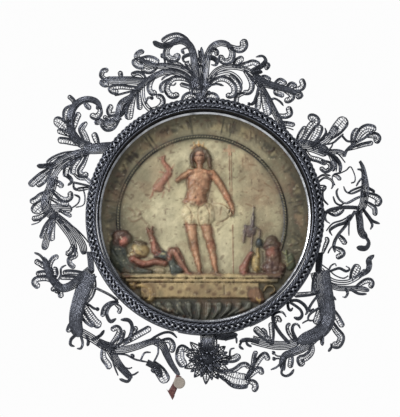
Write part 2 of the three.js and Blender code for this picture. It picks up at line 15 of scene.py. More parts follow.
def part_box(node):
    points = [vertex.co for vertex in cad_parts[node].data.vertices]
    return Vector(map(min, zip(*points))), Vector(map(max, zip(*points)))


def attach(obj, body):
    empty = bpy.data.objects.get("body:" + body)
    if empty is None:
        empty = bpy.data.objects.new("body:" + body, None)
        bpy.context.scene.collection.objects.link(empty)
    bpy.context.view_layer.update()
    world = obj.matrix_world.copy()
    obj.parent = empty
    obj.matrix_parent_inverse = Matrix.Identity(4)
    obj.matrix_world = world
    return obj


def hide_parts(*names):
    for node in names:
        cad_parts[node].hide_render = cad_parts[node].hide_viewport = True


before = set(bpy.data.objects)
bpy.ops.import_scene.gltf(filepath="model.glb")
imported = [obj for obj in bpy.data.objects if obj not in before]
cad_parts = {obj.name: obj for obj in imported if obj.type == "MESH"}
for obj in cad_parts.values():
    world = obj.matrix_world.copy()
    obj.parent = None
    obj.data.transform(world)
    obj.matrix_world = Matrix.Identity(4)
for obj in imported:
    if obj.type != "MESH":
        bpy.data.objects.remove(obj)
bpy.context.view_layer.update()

bl_info = {
    "name": "Wax medallion",
    "version": (1, 0, 0),
    "blender": (4, 5, 0),
    "location": "View3D > Sidebar > Medallion",
    "description": "Builds a wax relief in a silver filigree frame",
    "category": "Add Mesh",
}

MM = 0.001
FULL_TURN = 2 * math.pi


def node_reach(node):
    """A round node's radius and its lowest and highest depth, in millimetres."""
    low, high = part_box(node)
    return high[0] / MM, -high[1] / MM, -low[1] / MM


CASE_RADIUS, CASE_BACK, CASE_LIP = node_reach("silver_case")
BORDER_RADIUS, BORDER_BACK, BORDER_FRONT = node_reach("rope_border")
WAX_RADIUS, WAX_BACK, WAX_TOP = node_reach("wax_relief")
BEZEL_RADIUS, BEZEL_BACK, BEZEL_FRONT = node_reach("inner_bezel")
CASE_WALL = 0.8
WAX_FACE = BEZEL_BACK - 0.3
BORDER_INNER = CASE_RADIUS + 0.3
LEAF_DEPTH = -sum(corner[1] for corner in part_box("crest_spray")) / 2 / MM


# Sizes and colours that a user would change


def length(name, text, default):
    return bpy.props.FloatProperty(name=name, description=text, default=default * MM, min=0, unit="LENGTH")


def share(name, text, default):
    return bpy.props.FloatProperty(name=name, description=text, default=default, min=0, max=1, subtype="FACTOR")


def count(name, text, default):
    return bpy.props.IntProperty(name=name, description=text, default=default, min=1)


def colour(name, text, red, green, blue):
    return bpy.props.FloatVectorProperty(
        name=name, description=text, subtype="COLOR", size=3, min=0, max=1, default=(red, green, blue))


class SilverSettings(bpy.types.PropertyGroup):
    # The tarnish colour also stands for shade: painted shade on the case's inner wall and the border's seat.
    tarnish: colour("Tarnish", "Colour of the silver in the recesses", 0.022, 0.024, 0.03)
    metal: colour("Metal", "Colour of the silver on the wires", 0.19, 0.2, 0.235)
    # The rubbed colour is also a painted highlight on the border's beads and the brightest eyelets.
    rubbed: colour("Rubbed", "Colour of the silver where it is rubbed", 0.52, 0.53, 0.55)


class FoliageSettings(bpy.types.PropertyGroup):
    outline: length("Outline wire", "Radius of the wire round a leaf", 0.42)
    vein: length("Drawn wire", "Radius of the wires that lie side by side in a stem", 0.34)
    curl: length("Curl wire", "Radius of the fine wire curled inside a leaf", 0.15)
    spacing: length("Wire spacing", "Distance between the wires in a stem", 0.62)
    open_width: bpy.props.FloatProperty(
        name="Leaf fullness", description="Width of an open leaf against its stem line", default=1.3, min=0.5)
    lift: length("Lift", "How far an open leaf rises at its tip", 2.4)
    seed: count("Seed", "Seed of the leaves' own tilts", 7)


class BorderSettings(bpy.types.PropertyGroup):
    eyes: count("Eyes", "Number of wire eyes round the border", 120)
    eye_wire: length("Eye wire", "Radius of the wire of an eye", 0.42)
    twists: count("Twists", "Turns of the twisted wires round the border", 71)
    strand: length("Strand", "Radius of a strand of the twisted wires", 0.46)


class WaxSettings(bpy.types.PropertyGroup):
    cells: count("Cells", "Cells across the relief's mesh", 290)
    centre: colour("Ground", "Colour of the wax at the centre", 0.52, 0.46, 0.28)
    # The edge colour darkens the wax towards the rim: partly dirt and partly painted shade from the case's wall.
    edge: colour("Edge", "Colour of the darkened wax at the edge", 0.1, 0.082, 0.05)


class TagSettings(bpy.types.PropertyGroup):
    card: colour("Card", "Colour of the blank disc", 0.3, 0.26, 0.22)
    lacquer: colour("Lacquer", "Colour of the strip", 0.065, 0.012, 0.012)


class StageSettings(bpy.types.PropertyGroup):
    distance: length("Camera distance", "From the camera to the medallion", 1000)
    below: bpy.props.FloatProperty(
        name="Camera below", description="How far the camera looks up", default=math.radians(7.5), subtype="ANGLE")
    aside: bpy.props.FloatProperty(
        name="Camera aside", description="How far the camera stands to the left", default=math.radians(1.5),
        subtype="ANGLE")
    floor: colour("Floor", "Colour of the floor", 0.9, 0.9, 0.89)


SETTINGS = {
    "medallion_silver": SilverSettings,
    "medallion_foliage": FoliageSettings,
    "medallion_border": BorderSettings,
    "medallion_wax": WaxSettings,
    "medallion_tag": TagSettings,
    "medallion_stage": StageSettings,
}


def settings(name):
    return getattr(bpy.context.scene, "medallion_" + name)


# Curves, in millimetres


def smooth_path(flat, spacing=0.5):
    """Evenly spaced points on a smooth curve through x, z pairs, the side direction at each, and the length."""
    knots = np.reshape(np.array(flat, float), (-1, 2))
    padded = np.vstack([knots[:1], knots, knots[-1:]])
    t = np.linspace(0, 1, 16, endpoint=False)[:, None]
    parts = []
    for before, start, end, after in zip(padded, padded[1:], padded[2:], padded[3:]):
        leave, arrive = (end - before) / 2, (after - start) / 2
        parts.append(
            (2 * start - 2 * end + leave + arrive) * t**3
            + (-3 * start + 3 * end - 2 * leave - arrive) * t**2 + leave * t + start)
    points = np.vstack(parts + [knots[-1:]])
    run = np.concatenate([[0], np.cumsum(np.linalg.norm(np.diff(points, axis=0), axis=1))])
    steps = max(4, math.ceil(run[-1] / spacing))
    where = np.linspace(0, run[-1], steps + 1)
    path = np.stack([np.interp(where, run, points[:, k]) for k in (0, 1)], axis=1)
    along = np.gradient(path, axis=0)
    along /= np.linalg.norm(along, axis=1)[:, None]
    return path, np.stack([-along[:, 1], along[:, 0]], axis=1), run[-1]


def arc(radius, start, end, depth, spacing=1.0):
    """Points on an arc about the medallion's axis, between two angles in degrees, as x, d, z."""
    steps = max(3, math.ceil(math.radians(abs(end - start)) * radius / spacing))
    angle = np.radians(np.linspace(start, end, steps + 1))
    return np.stack([radius * np.cos(angle), np.full(steps + 1, float(depth)), radius * np.sin(angle)], axis=1)


def places(points):
    """Points given as x, d, z in millimetres, as positions in metres."""
    points = np.asarray(points, float)
    return np.stack([points[:, 0], -points[:, 1], points[:, 2]], axis=1) * MM


# Meshes and the pieces made from them


def new_object(name, mesh):
    thing = bpy.data.objects.new(name, mesh)
    bpy.context.collection.objects.link(thing)
    return thing


def mesh_of(name, points, faces=(), edges=(), smooth=True):
    mesh = bpy.data.meshes.new(name)
    mesh.from_pydata([tuple(p) for p in places(points)], [tuple(e) for e in edges], [tuple(f) for f in faces])
    mesh.polygons.foreach_set("use_smooth", [smooth] * len(mesh.polygons))
    mesh.update()
    return mesh


def add_numbers(mesh, name, values):
    mesh.attributes.new(name, "FLOAT", "POINT").data.foreach_set("value", np.asarray(values, np.float32))


def finished(thing, slot, *nodes):
    """A finished piece: it rides on the one body and stands for the nodes."""
    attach(thing, "root")
    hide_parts(*nodes)
    return thing


def turned(name, profile, material, steps=256, tint=None):
    """A closed ring or dish turned about the medallion's axis from points of [radius, depth].

    The profile runs from the back outwards and forward, as seen in a section, and closes on itself
    unless it starts and ends on the axis.
    """
    open_ended = profile[0][0] == 0
    angles = np.linspace(0, FULL_TURN, steps, endpoint=False)
    points, faces, rows, tints = [], [], [], []
    for k, (radius, depth) in enumerate(profile):
        shade = tint[k] if tint else 1
        if radius == 0:
            rows.append([len(points)] * steps)
            points.append((0, depth, 0))
            tints.append(shade)
            continue
        rows.append(list(range(len(points), len(points) + steps)))
        points.extend((radius * math.cos(a), depth, radius * math.sin(a)) for a in angles)
        tints.extend([shade] * steps)
    pairs = list(zip(rows, rows[1:])) + ([] if open_ended else [(rows[-1], rows[0])])
    for lower, upper in pairs:
        for k in range(steps):
            after = (k + 1) % steps
            face = [lower[k], upper[k], upper[after], lower[after]]
            faces.append(list(dict.fromkeys(face)))
    mesh = mesh_of(name, points, faces)
    add_numbers(mesh, "tint", tints)
    mesh.materials.append(material)
    return new_object(name, mesh)


# Geometry node trees


class Tree:
    """A node tree under construction, with short ways to add and join nodes."""

    def __init__(self, name, inputs):
        self.tree = bpy.data.node_groups.new(name, "GeometryNodeTree")
        self.tree.interface.new_socket("Geometry", in_out="INPUT", socket_type="NodeSocketGeometry")
        for title, kind in inputs.items():
            self.tree.interface.new_socket(title, in_out="INPUT", socket_type="NodeSocket" + kind)
        self.tree.interface.new_socket("Geometry", in_out="OUTPUT", socket_type="NodeSocketGeometry")
        self.given = self.tree.nodes.new("NodeGroupInput").outputs

    def node(self, kind, outlet=0, values=(), **options):
        """Adds a node, sets its options and inputs, and returns one of its outputs."""
        node = self.tree.nodes.new(kind)
        for option, value in options.items():
            setattr(node, option, value)
        for socket, value in dict(values).items():
            if isinstance(value, bpy.types.NodeSocket):
                self.tree.links.new(value, node.inputs[socket])
            else:
                node.inputs[socket].default_value = value
        return node.outputs[outlet]

    def math(self, operation, a, b=0.0):
        return self.node("ShaderNodeMath", operation=operation, values={0: a, 1: b})

    def finish(self, geometry):
        """Ends the tree with smooth faces, real instances and the material."""
        smooth = self.node("GeometryNodeSetShadeSmooth", values={"Geometry": geometry})
        real = self.node("GeometryNodeRealizeInstances", values={"Geometry": smooth})
        painted = self.node(
            "GeometryNodeSetMaterial", values={"Geometry": real, "Material": self.given["Material"]})
        outlet = self.tree.nodes.new("NodeGroupOutput")
        self.tree.links.new(painted, outlet.inputs["Geometry"])
        return self.tree


def wire_tree():
    """Sweeps a round section along every chain of edges, as thick as its thick attribute says."""
    tree = Tree("wire along a path", {"Sides": "Int", "Material": "Material"})
    section = tree.node("GeometryNodeCurvePrimitiveCircle", values={"Resolution": tree.given["Sides"], "Radius": 1.0})
    thick = tree.node("GeometryNodeInputNamedAttribute", data_type="FLOAT", values={"Name": "thick"})
    curve = tree.node("GeometryNodeMeshToCurve", values={"Mesh": tree.given["Geometry"]})
    swept = tree.node("GeometryNodeCurveToMesh", values={
        "Curve": curve, "Profile Curve": section, "Scale": thick, "Fill Caps": True})
    return tree.finish(swept)


def grain_tree():
    """Puts a small ball on every point, as large as its thick attribute says."""
    tree = Tree("grains on points", {"Material": "Material"})
    thick = tree.node("GeometryNodeInputNamedAttribute", data_type="FLOAT", values={"Name": "thick"})
    ball = tree.node("GeometryNodeMeshIcoSphere", values={"Radius": 1.0, "Subdivisions": 2})
    balls = tree.node("GeometryNodeInstanceOnPoints", values={
        "Points": tree.given["Geometry"], "Instance": ball, "Scale": thick})
    return tree.finish(balls)


def standing_ring(tree, geometry):
    """Turns a ring that lies flat in the tree upright, with its front towards the viewer."""
    return tree.node("GeometryNodeTransform", values={"Geometry": geometry, "Rotation": (math.pi / 2, 0, 0)})


def rope_tree():
    """Twists two strands round a ring."""
    tree = Tree("twisted wire round a ring", {
        "Radius": "Float", "Depth": "Float", "Strand": "Float", "Twists": "Int", "Steps": "Int",
        "Material": "Material"})
    given = tree.given
    ring = tree.node("GeometryNodeCurvePrimitiveCircle", values={
        "Resolution": given["Steps"], "Radius": given["Radius"]})
    section = tree.node("GeometryNodeCurvePrimitiveCircle", values={"Resolution": 6, "Radius": given["Strand"]})
    index = tree.node("GeometryNodeInputIndex")
    turn = tree.math("DIVIDE", tree.math("MULTIPLY", index, given["Twists"]), given["Steps"])
    outward = tree.node("ShaderNodeVectorMath", operation="NORMALIZE", values={
        0: tree.node("GeometryNodeInputPosition")})
    strands = []
    for phase in (0, math.pi):
        angle = tree.math("ADD", tree.math("MULTIPLY", turn, FULL_TURN), phase)
        across = tree.math("MULTIPLY", tree.math("COSINE", angle), given["Strand"])
        forward = tree.math("ADD", tree.math("MULTIPLY", tree.math("SINE", angle), given["Strand"]), given["Depth"])
        sideways = tree.node("ShaderNodeVectorMath", operation="SCALE", values={0: outward, "Scale": across})
        upward = tree.node("ShaderNodeCombineXYZ", values={"Z": forward})
        offset = tree.node("ShaderNodeVectorMath", operation="ADD", values={0: sideways, 1: upward})
        curve = tree.node("GeometryNodeSetPosition", values={"Geometry": ring, "Offset": offset})
        strands.append(tree.node("GeometryNodeCurveToMesh", values={"Curve": curve, "Profile Curve": section}))
    joined = tree.tree.nodes.new("GeometryNodeJoinGeometry")
    for strand in strands:
        tree.tree.links.new(strand, joined.inputs[0])
    return tree.finish(standing_ring(tree, joined.outputs[0]))


def eye_tree():
    """Lays slanting eyes of bent wire side by side round a ring."""
    tree = Tree("wire eyes round a ring", {
        "Radius": "Float", "Depth": "Float", "Count": "Int", "Long": "Float", "Short": "Float",
        "Slant": "Float", "Lean": "Float", "Wire": "Float", "Material": "Material"})
    given = tree.given
    circle = tree.node("GeometryNodeCurvePrimitiveCircle", values={"Resolution": 10, "Radius": 1.0})
    shape = tree.node("ShaderNodeCombineXYZ", values={"X": given["Long"], "Y": given["Short"], "Z": 1.0})
    loop = tree.node("GeometryNodeTransform", values={"Geometry": circle, "Scale": shape})
    section = tree.node("GeometryNodeCurvePrimitiveCircle", values={"Resolution": 6, "Radius": given["Wire"]})
    eye = tree.node("GeometryNodeCurveToMesh", values={"Curve": loop, "Profile Curve": section})
    lean = tree.node("ShaderNodeCombineXYZ", values={"X": given["Lean"], "Z": given["Slant"]})
    leaning = tree.node("FunctionNodeEulerToRotation", values={"Euler": lean})
    eye = tree.node("GeometryNodeTransform", values={"Geometry": eye, "Rotation": leaning})
    ring = tree.node("GeometryNodeMeshCircle", values={"Vertices": given["Count"], "Radius": given["Radius"]})
    index = tree.node("GeometryNodeInputIndex")
    angle = tree.math("MULTIPLY", tree.math("DIVIDE", index, given["Count"]), FULL_TURN)
    facing = tree.node("FunctionNodeEulerToRotation", values={
        "Euler": tree.node("ShaderNodeCombineXYZ", values={"Z": angle})})
    eyes = tree.node("GeometryNodeInstanceOnPoints", values={
        "Points": ring, "Instance": eye, "Rotation": facing})
    raised = tree.node("GeometryNodeTransform", values={
        "Geometry": eyes, "Translation": tree.node("ShaderNodeCombineXYZ", values={"Z": given["Depth"]})})
    return tree.finish(standing_ring(tree, raised))


def grown(name, mesh, tree, **inputs):
    """Runs a tree on a mesh and returns the result as a plain object."""
    thing = new_object(name + "_start", mesh)
    modifier = thing.modifiers.new(name, "NODES")
    modifier.node_group = tree
    titles = {s.name: s.identifier for s in tree.interface.items_tree if s.in_out == "INPUT"}
    for title, value in inputs.items():
        modifier[titles[title]] = value
    result = bpy.data.meshes.new_from_object(thing.evaluated_get(bpy.context.evaluated_depsgraph_get()))
    thing.modifiers.remove(modifier)
    bpy.data.objects.remove(thing)
    result.name = name
    return new_object(name, result)


def swept_wires(name, wires, material, sides=6):
    """Makes one object of many wires, each a list of points, thicknesses and tints."""
    points = np.vstack([w[0] for w in wires])
    edges, start = [], 0
    for path, _, _ in wires:
        run = np.arange(start, start + len(path))
        edges.append(np.stack([run[:-1], run[1:]], axis=1))
        start += len(path)
    mesh = mesh_of(name, points, edges=np.vstack(edges))
    add_numbers(mesh, "thick", np.concatenate([np.broadcast_to(w[1], len(w[0])) for w in wires]) * MM)
    add_numbers(mesh, "tint", np.concatenate([np.broadcast_to(w[2], len(w[0])) for w in wires]))
    return grown(name, mesh, wire_tree(), Sides=sides, Material=material)


def grains(name, points, sizes, tint, material):
    mesh = mesh_of(name, points)
    add_numbers(mesh, "thick", np.asarray(sizes) * MM)
    add_numbers(mesh, "tint", np.full(len(points), tint))
    return grown(name, mesh, grain_tree(), Material=material)


def joined(first, *others):
    """Joins objects into the first one."""
    with bpy.context.temp_override(active_object=first, selected_editable_objects=[first, *others]):
        bpy.ops.object.join()
    return first


# Materials


class Paint:
    """A material under construction, with short ways to add and join shader nodes."""

    def __init__(self, name, **constants):
        self.material = bpy.data.materials.new(name)
        self.material.use_nodes = True
        self.nodes = self.material.node_tree.nodes
        self.links = self.material.node_tree.links
        self.shader = next(n for n in self.nodes if n.type == "BSDF_PRINCIPLED")
        for socket, value in constants.items():
            self.shader.inputs[socket.replace("_", " ")].default_value = value
        self.place = self.node("ShaderNodeTexCoord", "Object")

    def node(self, kind, outlet=0, values=(), **options):
        node = self.nodes.new(kind)
        for option, value in options.items():
            setattr(node, option, value)
        for socket, value in dict(values).items():
            if isinstance(value, bpy.types.NodeSocket):
                self.links.new(value, node.inputs[socket])
            else:
                node.inputs[socket].default_value = value
        return node.outputs[outlet]

    def noise(self, scale, detail=4.0, rough=0.55, outlet="Fac"):
        """Noise with its grain given as a number of waves to the metre."""
        return self.node("ShaderNodeTexNoise", outlet, {
            "Vector": self.place, "Scale": scale, "Detail": detail, "Roughness": rough})

    def spread(self, value, low, high, to_low=0.0, to_high=1.0):
        return self.node("ShaderNodeMapRange", values={
            "Value": value, "From Min": low, "From Max": high, "To Min": to_low, "To Max": to_high})

    def math(self, operation, a, b=0.0):
        return self.node("ShaderNodeMath", operation=operation, values={0: a, 1: b})

    def attribute(self, name, outlet="Fac"):
        return self.node("ShaderNodeAttribute", outlet, attribute_name=name)

    def mix(self, share_of_second, first, second, blend="MIX"):
        """Mixes two colours, each a socket or three numbers."""
        values = {"Factor": share_of_second}
        for socket, value in ((6, first), (7, second)):
            values[socket] = value if isinstance(value, bpy.types.NodeSocket) else (*value, 1.0)
        return self.node("ShaderNodeMix", 2, values, data_type="RGBA", blend_type=blend)

    def set(self, **inputs):
        for socket, value in inputs.items():
            self.links.new(value, self.shader.inputs[socket.replace("_", " ")])
        return self

    def bump(self, height, strength, distance):
        normal = self.node("ShaderNodeBump", values={
            "Height": height, "Strength": strength, "Distance": distance * MM})
        return self.set(Normal=normal)


def tarnished_silver():
    """Silver gone blue-grey, black where no cloth reaches and a little brighter on the high wires. The tint attribute
    sets this: low in the recesses, as tarnish and, on the case's inner wall and the border's seat, as painted shade;
    above 1 it turns to rubbed silver, which on the border's beads and the brightest eyelets is a painted highlight.
    """
    chosen = settings("silver")
    paint = Paint("tarnished silver", Metallic=0.9)
    worn = paint.spread(paint.noise(900, 5), 0.35, 0.7)
    tint = paint.attribute("tint")
    bright = paint.math("MULTIPLY", tint, paint.math("ADD", paint.math("MULTIPLY", worn, 0.75), 0.35))
    metal = paint.mix(paint.spread(paint.noise(220), 0.4, 0.65), chosen.metal, tuple(0.72 * c for c in chosen.metal))
    silver = paint.mix(bright, chosen.tarnish, metal)
    paint.set(
        # A tint above 1 mixes in rubbed silver: painted highlights on the border's beads and the brightest eyelets.
        Base_Color=paint.mix(paint.spread(tint, 1, 1.5), silver, chosen.rubbed),
        Roughness=paint.spread(paint.noise(1500, 3), 0.3, 0.7, 0.2, 0.44))
    return paint.bump(paint.noise(3500, 2), 0.25, 0.05).material


def rubbed_silver():
    """The bezel's silver, brighter and scratched along its length."""
    chosen = settings("silver")
    paint = Paint("rubbed silver", Metallic=1.0)
    stain = paint.spread(paint.noise(160, 6), 0.42, 0.62)
    paint.set(
        Base_Color=paint.mix(stain, chosen.rubbed, tuple(0.45 * c for c in chosen.rubbed)),
        Roughness=paint.spread(paint.noise(800, 3), 0.3, 0.7, 0.22, 0.42))
    return paint.bump(paint.noise(2600, 2), 0.2, 0.04).material


def painted_wax():
    """Old painted wax: the brushed colours with their painted light and shade, mottled with dirt, under a thin uneven
    varnish.
    """
    paint = Paint("painted wax", Metallic=0.0, Specular_IOR_Level=0.35, Coat_Weight=0.08, Coat_Roughness=0.3)
    brushed_colour_and_painted_light = paint.attribute("paint", "Color")
    cloud = paint.spread(paint.noise(90, 6, 0.65), 0.3, 0.75, 0.78, 1.12)
    grime = paint.spread(paint.noise(620, 5, 0.7), 0.56, 0.74, 0.0, 0.4)
    clouded = paint.mix(1.0, brushed_colour_and_painted_light, paint.node("ShaderNodeCombineColor", values={
        "Red": cloud, "Green": cloud, "Blue": cloud}), "MULTIPLY")
    paint.set(
        Base_Color=paint.mix(grime, clouded, (0.09, 0.062, 0.035)),
        Roughness=paint.spread(paint.noise(400, 4), 0.3, 0.7, 0.4, 0.62))
    return paint.bump(paint.noise(1400, 4, 0.6), 0.35, 0.12).material


def old_card():
    chosen = settings("tag")
    paint = Paint("old card", Metallic=0.0, Roughness=0.75)
    fibre = paint.spread(paint.noise(1800, 5, 0.7), 0.35, 0.7)
    paint.set(Base_Color=paint.mix(fibre, chosen.card, tuple(0.6 * c for c in chosen.card)))
    return paint.bump(paint.noise(5000, 3), 0.3, 0.05).material


def red_lacquer():
    chosen = settings("tag")
    paint = Paint("red lacquer", Metallic=0.0, Coat_Weight=0.4, Coat_Roughness=0.2)
    rubbed = paint.spread(paint.noise(1200, 4), 0.5, 0.75)
    paint.set(
        Base_Color=paint.mix(rubbed, chosen.lacquer, (0.16, 0.07, 0.05)),
        Roughness=paint.spread(paint.noise(900, 3), 0.3, 0.7, 0.35, 0.6))
    return paint.bump(paint.noise(2400, 3), 0.2, 0.05).material


def pale_floor():
    chosen = settings("stage")
    paint = Paint("pale floor", Roughness=0.9)
    paint.set(Base_Color=paint.mix(paint.spread(paint.noise(2), 0.3, 0.7, 0, 0.05), chosen.floor, (0.8, 0.8, 0.8)))
    return paint.material


FINISHES = {
    "silver": tarnished_silver, "bezel": rubbed_silver, "wax": painted_wax, "card": old_card,
    "lacquer": red_lacquer, "floor": pale_floor,
}


def finish_of(name):
    """A finish, made on its first use."""
    title = FINISHES[name].__name__.replace("_", " ")
    return bpy.data.materials.get(title) or FINISHES[name]()


# Foliage. A row is a leaf's kind, its width or its widths at root and tip, and the x, z pairs of its
# middle line from root to tip. A band is a stem or leaf of drawn wires laid side by side; an open leaf is
# an outline of wire with fine curls inside; an edge is a leaf turned on its edge; a knot is a wire coiled
# up tight, with its radius as the width.

CREST = [
    ("band", (4.6, 4), [-2.3, 57, -2.2, 60, -2, 63]),
    ("band", 3, [-2.3, 61, -4, 65, -5.2, 70]),
    ("band", 2.5, [-1.8, 61, -0.3, 64.5, 2, 68.5]),
    ("edge", (3, 5), [-1.2, 64, -1.6, 70, -2, 77]),
    ("edge", (5.5, 1.2), [-2, 75.5, -1.8, 81, -1.8, 86]),
    ("edge", 1, [-2.2, 78, -3, 82, -3.2, 84.3]),
    ("edge", 1, [-1.5, 78, 0, 81, 0.3, 83.3]),
    ("band", (3.2, 2.4), [-4, 69, -5.2, 76, -5.7, 82, -8, 87.3, -12.5, 89.4, -18, 87.7]),
    ("open", 1.8, [-7, 87.5, -10, 90.8, -14, 92.3, -18.5, 91, -21.5, 88.5]),
    ("edge", 2.2, [-16.5, 88, -21, 86.8, -23.5, 87.3, -26.2, 88.7]),
    ("open", 2.5, [-16, 88, -19, 85.5, -19.3, 82, -17, 79.8, -14.5, 80.2, -14.2, 82.5]),
    ("edge", 1.5, [-6, 86.3, -9.5, 85.8, -11.5, 84.7, -10.5, 82.8]),
    ("edge", 1.5, [-5.6, 82.5, -8.5, 82.3, -11, 80.8, -10.3, 78.6, -8, 79]),
    ("open", 1.5, [-4.5, 71, -6.5, 73.5, -8.2, 76, -9.5, 78.3]),
    ("band", (3, 2.2), [-3.5, 67.5, -8, 72.8, -13, 75.3, -19, 76.3, -25, 76.5, -29.5, 77.5, -33, 80]),
    ("band", 2, [-31.5, 78.7, -34.5, 81, -33.3, 83.2, -30.8, 84]),
    ("open", 2, [-33, 80, -29, 80.4, -26, 79.5, -23.5, 77.6]),
    ("open", 1.8, [-33.5, 80.3, -35.8, 78.6, -34, 76.3, -30.8, 75.5]),
    ("open", 1.8, [-24, 76, -28, 73.7, -32, 74.6]),
    ("open", 1.2, [-7.5, 73, -13, 77.3, -19, 78.5]),
    ("edge", 1.2, [-20, 76, -20.3, 79.5, -21.3, 81]),
    ("knot", 1.3, [-21.4, 81.5]),
    ("band", (2.6, 2.2), [-3.5, 66, -9, 71, -14, 73.3, -19.5, 73.6,
        -25, 71.5, -31, 67.3, -36.5, 61.5, -40.5, 54, -43, 50.3]),
    ("open", 2, [-3.5, 64, -8, 69, -13, 70.4, -17, 69.3, -19.2, 65, -17.5, 61.5, -15, 61.1, -13.7, 62.4]),
    ("open", 1.5, [-6.8, 61.5, -7.2, 65, -9.5, 66.1, -12.5, 66.6]),
    ("open", 2, [-17, 70, -20.8, 67, -21.6, 64.7, -20.5, 62.7]),
    ("edge", 1.5, [-15, 73.2, -20, 71, -21.8, 69.2]),
    ("edge", 1.2, [-18.7, 67.2, -15.8, 66.4, -14.7, 67.6]),
    ("open", 2, [-3.2, 58.3, -5, 61.2, -8, 61.8, -10.2, 60, -10.3, 57.6]),
    ("open", 2, [-0.8, 58.5, 1.8, 61.6, 5, 61, 6.4, 58]),
    ("knot", 1.2, [2, 62.7]),
    ("band", (3, 2.4), [-0.5, 66, 0.3, 74, 1.3, 81, 3.5, 86, 7, 88.2, 10.5, 88, 13.5, 86.3]),
    ("open", 2.8, [12, 87.3, 15.5, 85.4, 18.3, 85.2, 19.8, 87, 19, 89.8]),
    ("open", 2.5, [11.5, 87.5, 13.8, 84, 13.2, 80, 10.5, 78.6, 8.3, 79.8, 9, 81.5]),
    ("open", 1.5, [2, 83.5, 4, 85.2, 6, 83.8, 5.3, 82]),
    ("edge", 2, [0.8, 80.8, 4, 80.8, 6.1, 79, 5.5, 77, 3.4, 77.2]),
    ("band", 2.2, [0.8, 66.8, 5, 73.3, 9.5, 75.8, 14.5, 76.2, 20, 75.2, 24, 73, 26.8, 69.5]),
    ("band", 1.8, [1.2, 67.3, 6, 71.6, 11, 72.9, 15, 71.5, 17.7, 68.5, 18, 66.3]),
    ("open", 2, [-0.5, 63.8, 4, 68.3, 8, 70, 11.5, 69.2, 14.5, 66, 14.6, 62.6, 12.8, 61, 10.7, 61.6]),
    ("open", 2, [12.5, 72.3, 16, 68.8, 17.4, 65.3, 16.3, 62.7]),
    ("edge", 2, [2.3, 66.6, 6, 67.2, 9.3, 66.3]),
    ("open", 2.2, [14.5, 76, 15.7, 78, 17, 79.6, 19.5, 80.5]),
    ("open", 2, [15.5, 76.2, 19, 77.2, 22, 77.9, 24.5, 78.5, 27.5, 77]),
    ("edge", 2.2, [23.3, 73.6, 26, 75.3, 29, 77, 30.8, 79.5, 29.3, 81.8, 26, 81.3]),
    ("open", 1.5, [29.8, 78, 32, 77.3, 30.5, 75]),
    ("edge", (2, 1.5), [24, 72.5, 26.5, 73.6, 29, 73.5]),
    ("band", (4, 2), [24.5, 71.5, 30, 68, 36, 66, 42, 64.5, 46.5, 62.8]),
    ("open", 1.8, [27.3, 69.7, 30, 71, 33, 69.2]),
    ("open", 1.8, [34.8, 66.8, 38, 69.2, 40.8, 67]),
    ("open", 1.6, [41, 65, 43.7, 67.5, 46, 66]),
    ("open", 2, [42.5, 64.3, 48, 65, 49.5, 67, 48.3, 69.6]),
    ("open", 1.8, [43, 64.2, 47, 62.6, 48.3, 61.5, 46, 60.4]),
    ("open", 2, [39, 65, 43, 62.7, 44, 60.7, 42, 59, 40.3, 59.4]),
    ("open", 1.5, [36, 66, 35.8, 63.3, 38, 62.2, 39.8, 61.3]),
    ("band", 2.5, [26, 69.8, 29, 65, 32, 59.5, 34.5, 54.5, 37.5, 48.8, 40.6, 43]),
    ("edge", 1.8, [32.3, 58.5, 35, 60, 38, 58.3, 39.5, 56.3]),
    ("open", 2, [35.8, 52, 40, 51, 42.8, 52.2, 41.8, 55.5]),
    ("open", 1.6, [37.5, 48.2, 42, 47.2, 45.2, 46.3]),
    ("edge", 0.9, [39.3, 45.4, 42, 45, 44.5, 44]),
    ("open", 2, [27.8, 67, 27.2, 63, 26.9, 58.5, 26.5, 54]),
    ("open", 3, [29.2, 64.5, 30.3, 60, 31, 56, 32, 51]),
    ("edge", 1.5, [27.3, 63, 26, 61, 24.7, 57.8, 23, 56.5]),
    ("knot", 0.9, [22.3, 57]),
    ("open", 1.6, [20.5, 62.8, 17, 61.6, 15.9, 59.5, 16, 57.4]),
    ("open", 1.8, [19.5, 75, 22.6, 70.5, 23.8, 66.5, 22.5, 63.3, 19.3, 62.8]),
    ("band", 3.3, [-30, 68.3, -36, 69, -42, 69, -47, 69, -50.5, 69.3]),
    ("open", 1.5, [-29.5, 69, -31.5, 71.8, -34, 72.6, -37, 71.3]),
    ("open", 1.5, [-42.3, 70, -42.6, 72, -43, 73.5]),
    ("open", 1.6, [-49, 69.3, -52, 71, -51.2, 73.6, -48.8, 73.5]),
    ("open", 1.6, [-49, 69.2, -52, 68, -50.6, 66.5, -48.5, 66.5]),
    ("open", 2, [-33, 65.3, -38, 65.3, -43, 65.6, -47.3, 64.6, -46, 62.9, -43.7, 63]),
    ("edge", 0.9, [-34, 64.3, -40, 62.5, -45.3, 61]),
    ("band", 2.5, [-37, 60.5, -41.8, 57.5, -43.3, 53.5, -43.8, 50]),
    ("band", 2.5, [-42.6, 50.6, -47, 47.6, -50.5, 46.8, -53, 48, -55.5, 47]),
    ("open", 1.4, [-42.8, 49.8, -46, 44.9, -49.5, 43.8, -52, 46.3]),
    ("open", 1.4, [-45, 48.6, -48, 49, -51, 50.3]),
    ("open", 1.8, [-43, 52.8, -47.3, 51.6, -48.2, 53.5, -46.8, 56]),
    ("open", 2.8, [-35.5, 62.3, -37.3, 56.5, -38, 52, -38.5, 48.6]),
    ("open", 1.8, [-33.5, 64.3, -33, 57.5, -32.7, 53.7]),
    ("band", 1.8, [-31.5, 66.8, -31.3, 60.5, -29.5, 56, -26, 53]),
    ("open", 1.8, [-28, 54.2, -23.5, 55, -21.2, 57.8, -22.2, 60.3, -24.5, 60.5]),
    ("edge", 1, [-30, 57, -28.8, 59.7, -27, 60]),
    ("knot", 0.9, [-26.8, 60]),
    ("open", 1.8, [-25, 71.3, -27.3, 68, -28, 64.8, -26.5, 62.3, -24.6, 63]),
]
